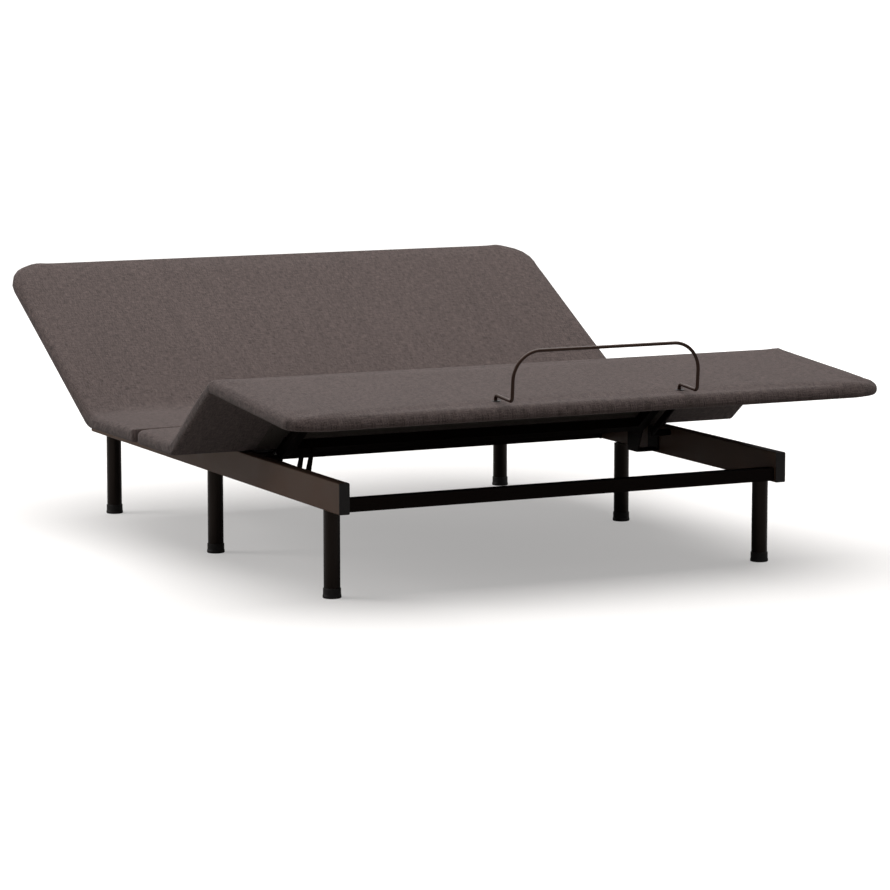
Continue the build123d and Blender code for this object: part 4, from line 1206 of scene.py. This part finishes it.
@dataclass
class Studio:
    """Pale floor, soft lights and the camera.

    Attributes:
        heading: degrees that the view turns from +Y toward +X.
        tilt: degrees that it looks down.
        place: where the camera stands.
        lens: focal length in millimetres on a 36 mm sensor.
    """

    heading: float = 26.022
    tilt: float = 7.888
    place: tuple[float, float, float] = (-3.8976, -8.1024, 1.4749)
    lens: float = 147.54
    sky: float = 0.31
    floor_shade: float = 0.40
    floor_lift: float = 0.37
    boxes: list[SoftBox] = field(default_factory=lambda: [
        SoftBox("overhead", (0.0, 0.3, 3.2), (0.0, 0.2, 0.0), (5.4, 5.4), 400.0),
        SoftBox("left", (-4.2, 2.0, 2.2), (0.0, 0.2, 0.2), (2.0, 1.6), 85.0),
    ])

    def build(self) -> None:
        """Build the whole studio."""
        self._floor()
        self._sky()
        for box in self.boxes:
            box.build()
        self._camera()
        bpy.context.scene.view_settings.view_transform = "Standard"
        LOG.info("studio ready")

    def _floor(self) -> None:
        """Pale matt floor that reaches past the view's edge."""
        far = 150.0
        verts = [(-far, -far, 0.0), (far, -far, 0.0), (far, far, 0.0), (-far, far, 0.0)]
        floor = new_mesh("studio_floor", verts, [(0, 1, 2, 3)])
        made = bpy.data.materials.new("studio_floor")
        made.use_nodes = True
        made.node_tree.nodes.clear()
        graph = Graph(made.node_tree)
        place = graph.node("ShaderNodeTexCoord").outputs["Object"]
        tone = graph.spread(graph.noise(place, 3.0), 0.0, 1.0,
                            self.floor_shade - 0.005, self.floor_shade + 0.005)
        away = graph.node("ShaderNodeVectorMath", {0: place}, operation="LENGTH").outputs["Value"]
        lift = graph.spread(away, 1.6, 4.2, self.floor_lift, 1.0)
        green, blue = (graph.math("MULTIPLY", tone, share) for share in (0.975, 0.955))
        warm = graph.node("ShaderNodeCombineColor",
                          {"Red": tone, "Green": green, "Blue": blue}).outputs["Color"]
        surface = graph.node("ShaderNodeBsdfPrincipled", {"Base Color": warm, "Roughness": 0.9,
                                                          "Specular IOR Level": 0.1,
                                                          "Emission Color": (1.0, 0.985, 0.975, 1.0)})
        seen = graph.node("ShaderNodeLightPath").outputs["Is Camera Ray"]
        graph.tree.links.new(graph.math("MULTIPLY", seen, lift), surface.inputs["Emission Strength"])
        graph.node("ShaderNodeOutputMaterial", {"Surface": surface.outputs[0]})
        floor.data.materials.append(made)

    def _sky(self) -> None:
        """Even white surround, softer in what it lights than in what it shows."""
        world = bpy.data.worlds.new("studio_surround")
        bpy.context.scene.world = world
        world.use_nodes = True
        world.node_tree.nodes.clear()
        graph = Graph(world.node_tree)
        seen = graph.node("ShaderNodeLightPath").outputs["Is Camera Ray"]
        strength = graph.spread(seen, 0.0, 1.0, self.sky, 1.0)
        shine = graph.node("ShaderNodeBackground", {"Color": (1.0, 1.0, 1.0, 1.0), "Strength": strength})
        graph.node("ShaderNodeOutputWorld", {"Surface": shine.outputs[0]})

    def _camera(self) -> None:
        """Camera at the viewing angle."""
        data = bpy.data.cameras.new("camera")
        data.lens = self.lens
        data.sensor_width = 36.0
        data.clip_end = 400.0
        camera = bpy.data.objects.new("camera", data)
        camera.location = self.place
        camera.rotation_euler = (math.radians(90 - self.tilt), 0.0, -math.radians(self.heading))
        bpy.context.scene.collection.objects.link(camera)
        bpy.context.scene.camera = camera


def main() -> None:
    """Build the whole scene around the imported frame."""
    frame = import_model()
    Studio().build()
    wardrobe = Wardrobe()
    wardrobe.dress_nodes(frame)
    side = DeckSide(frame)
    Upholsterer(side, wardrobe).build()
    Underside(side, wardrobe).build()


if __name__ == "__main__":
    logging.basicConfig(level=logging.INFO, format="%(name)s: %(message)s")
    main()
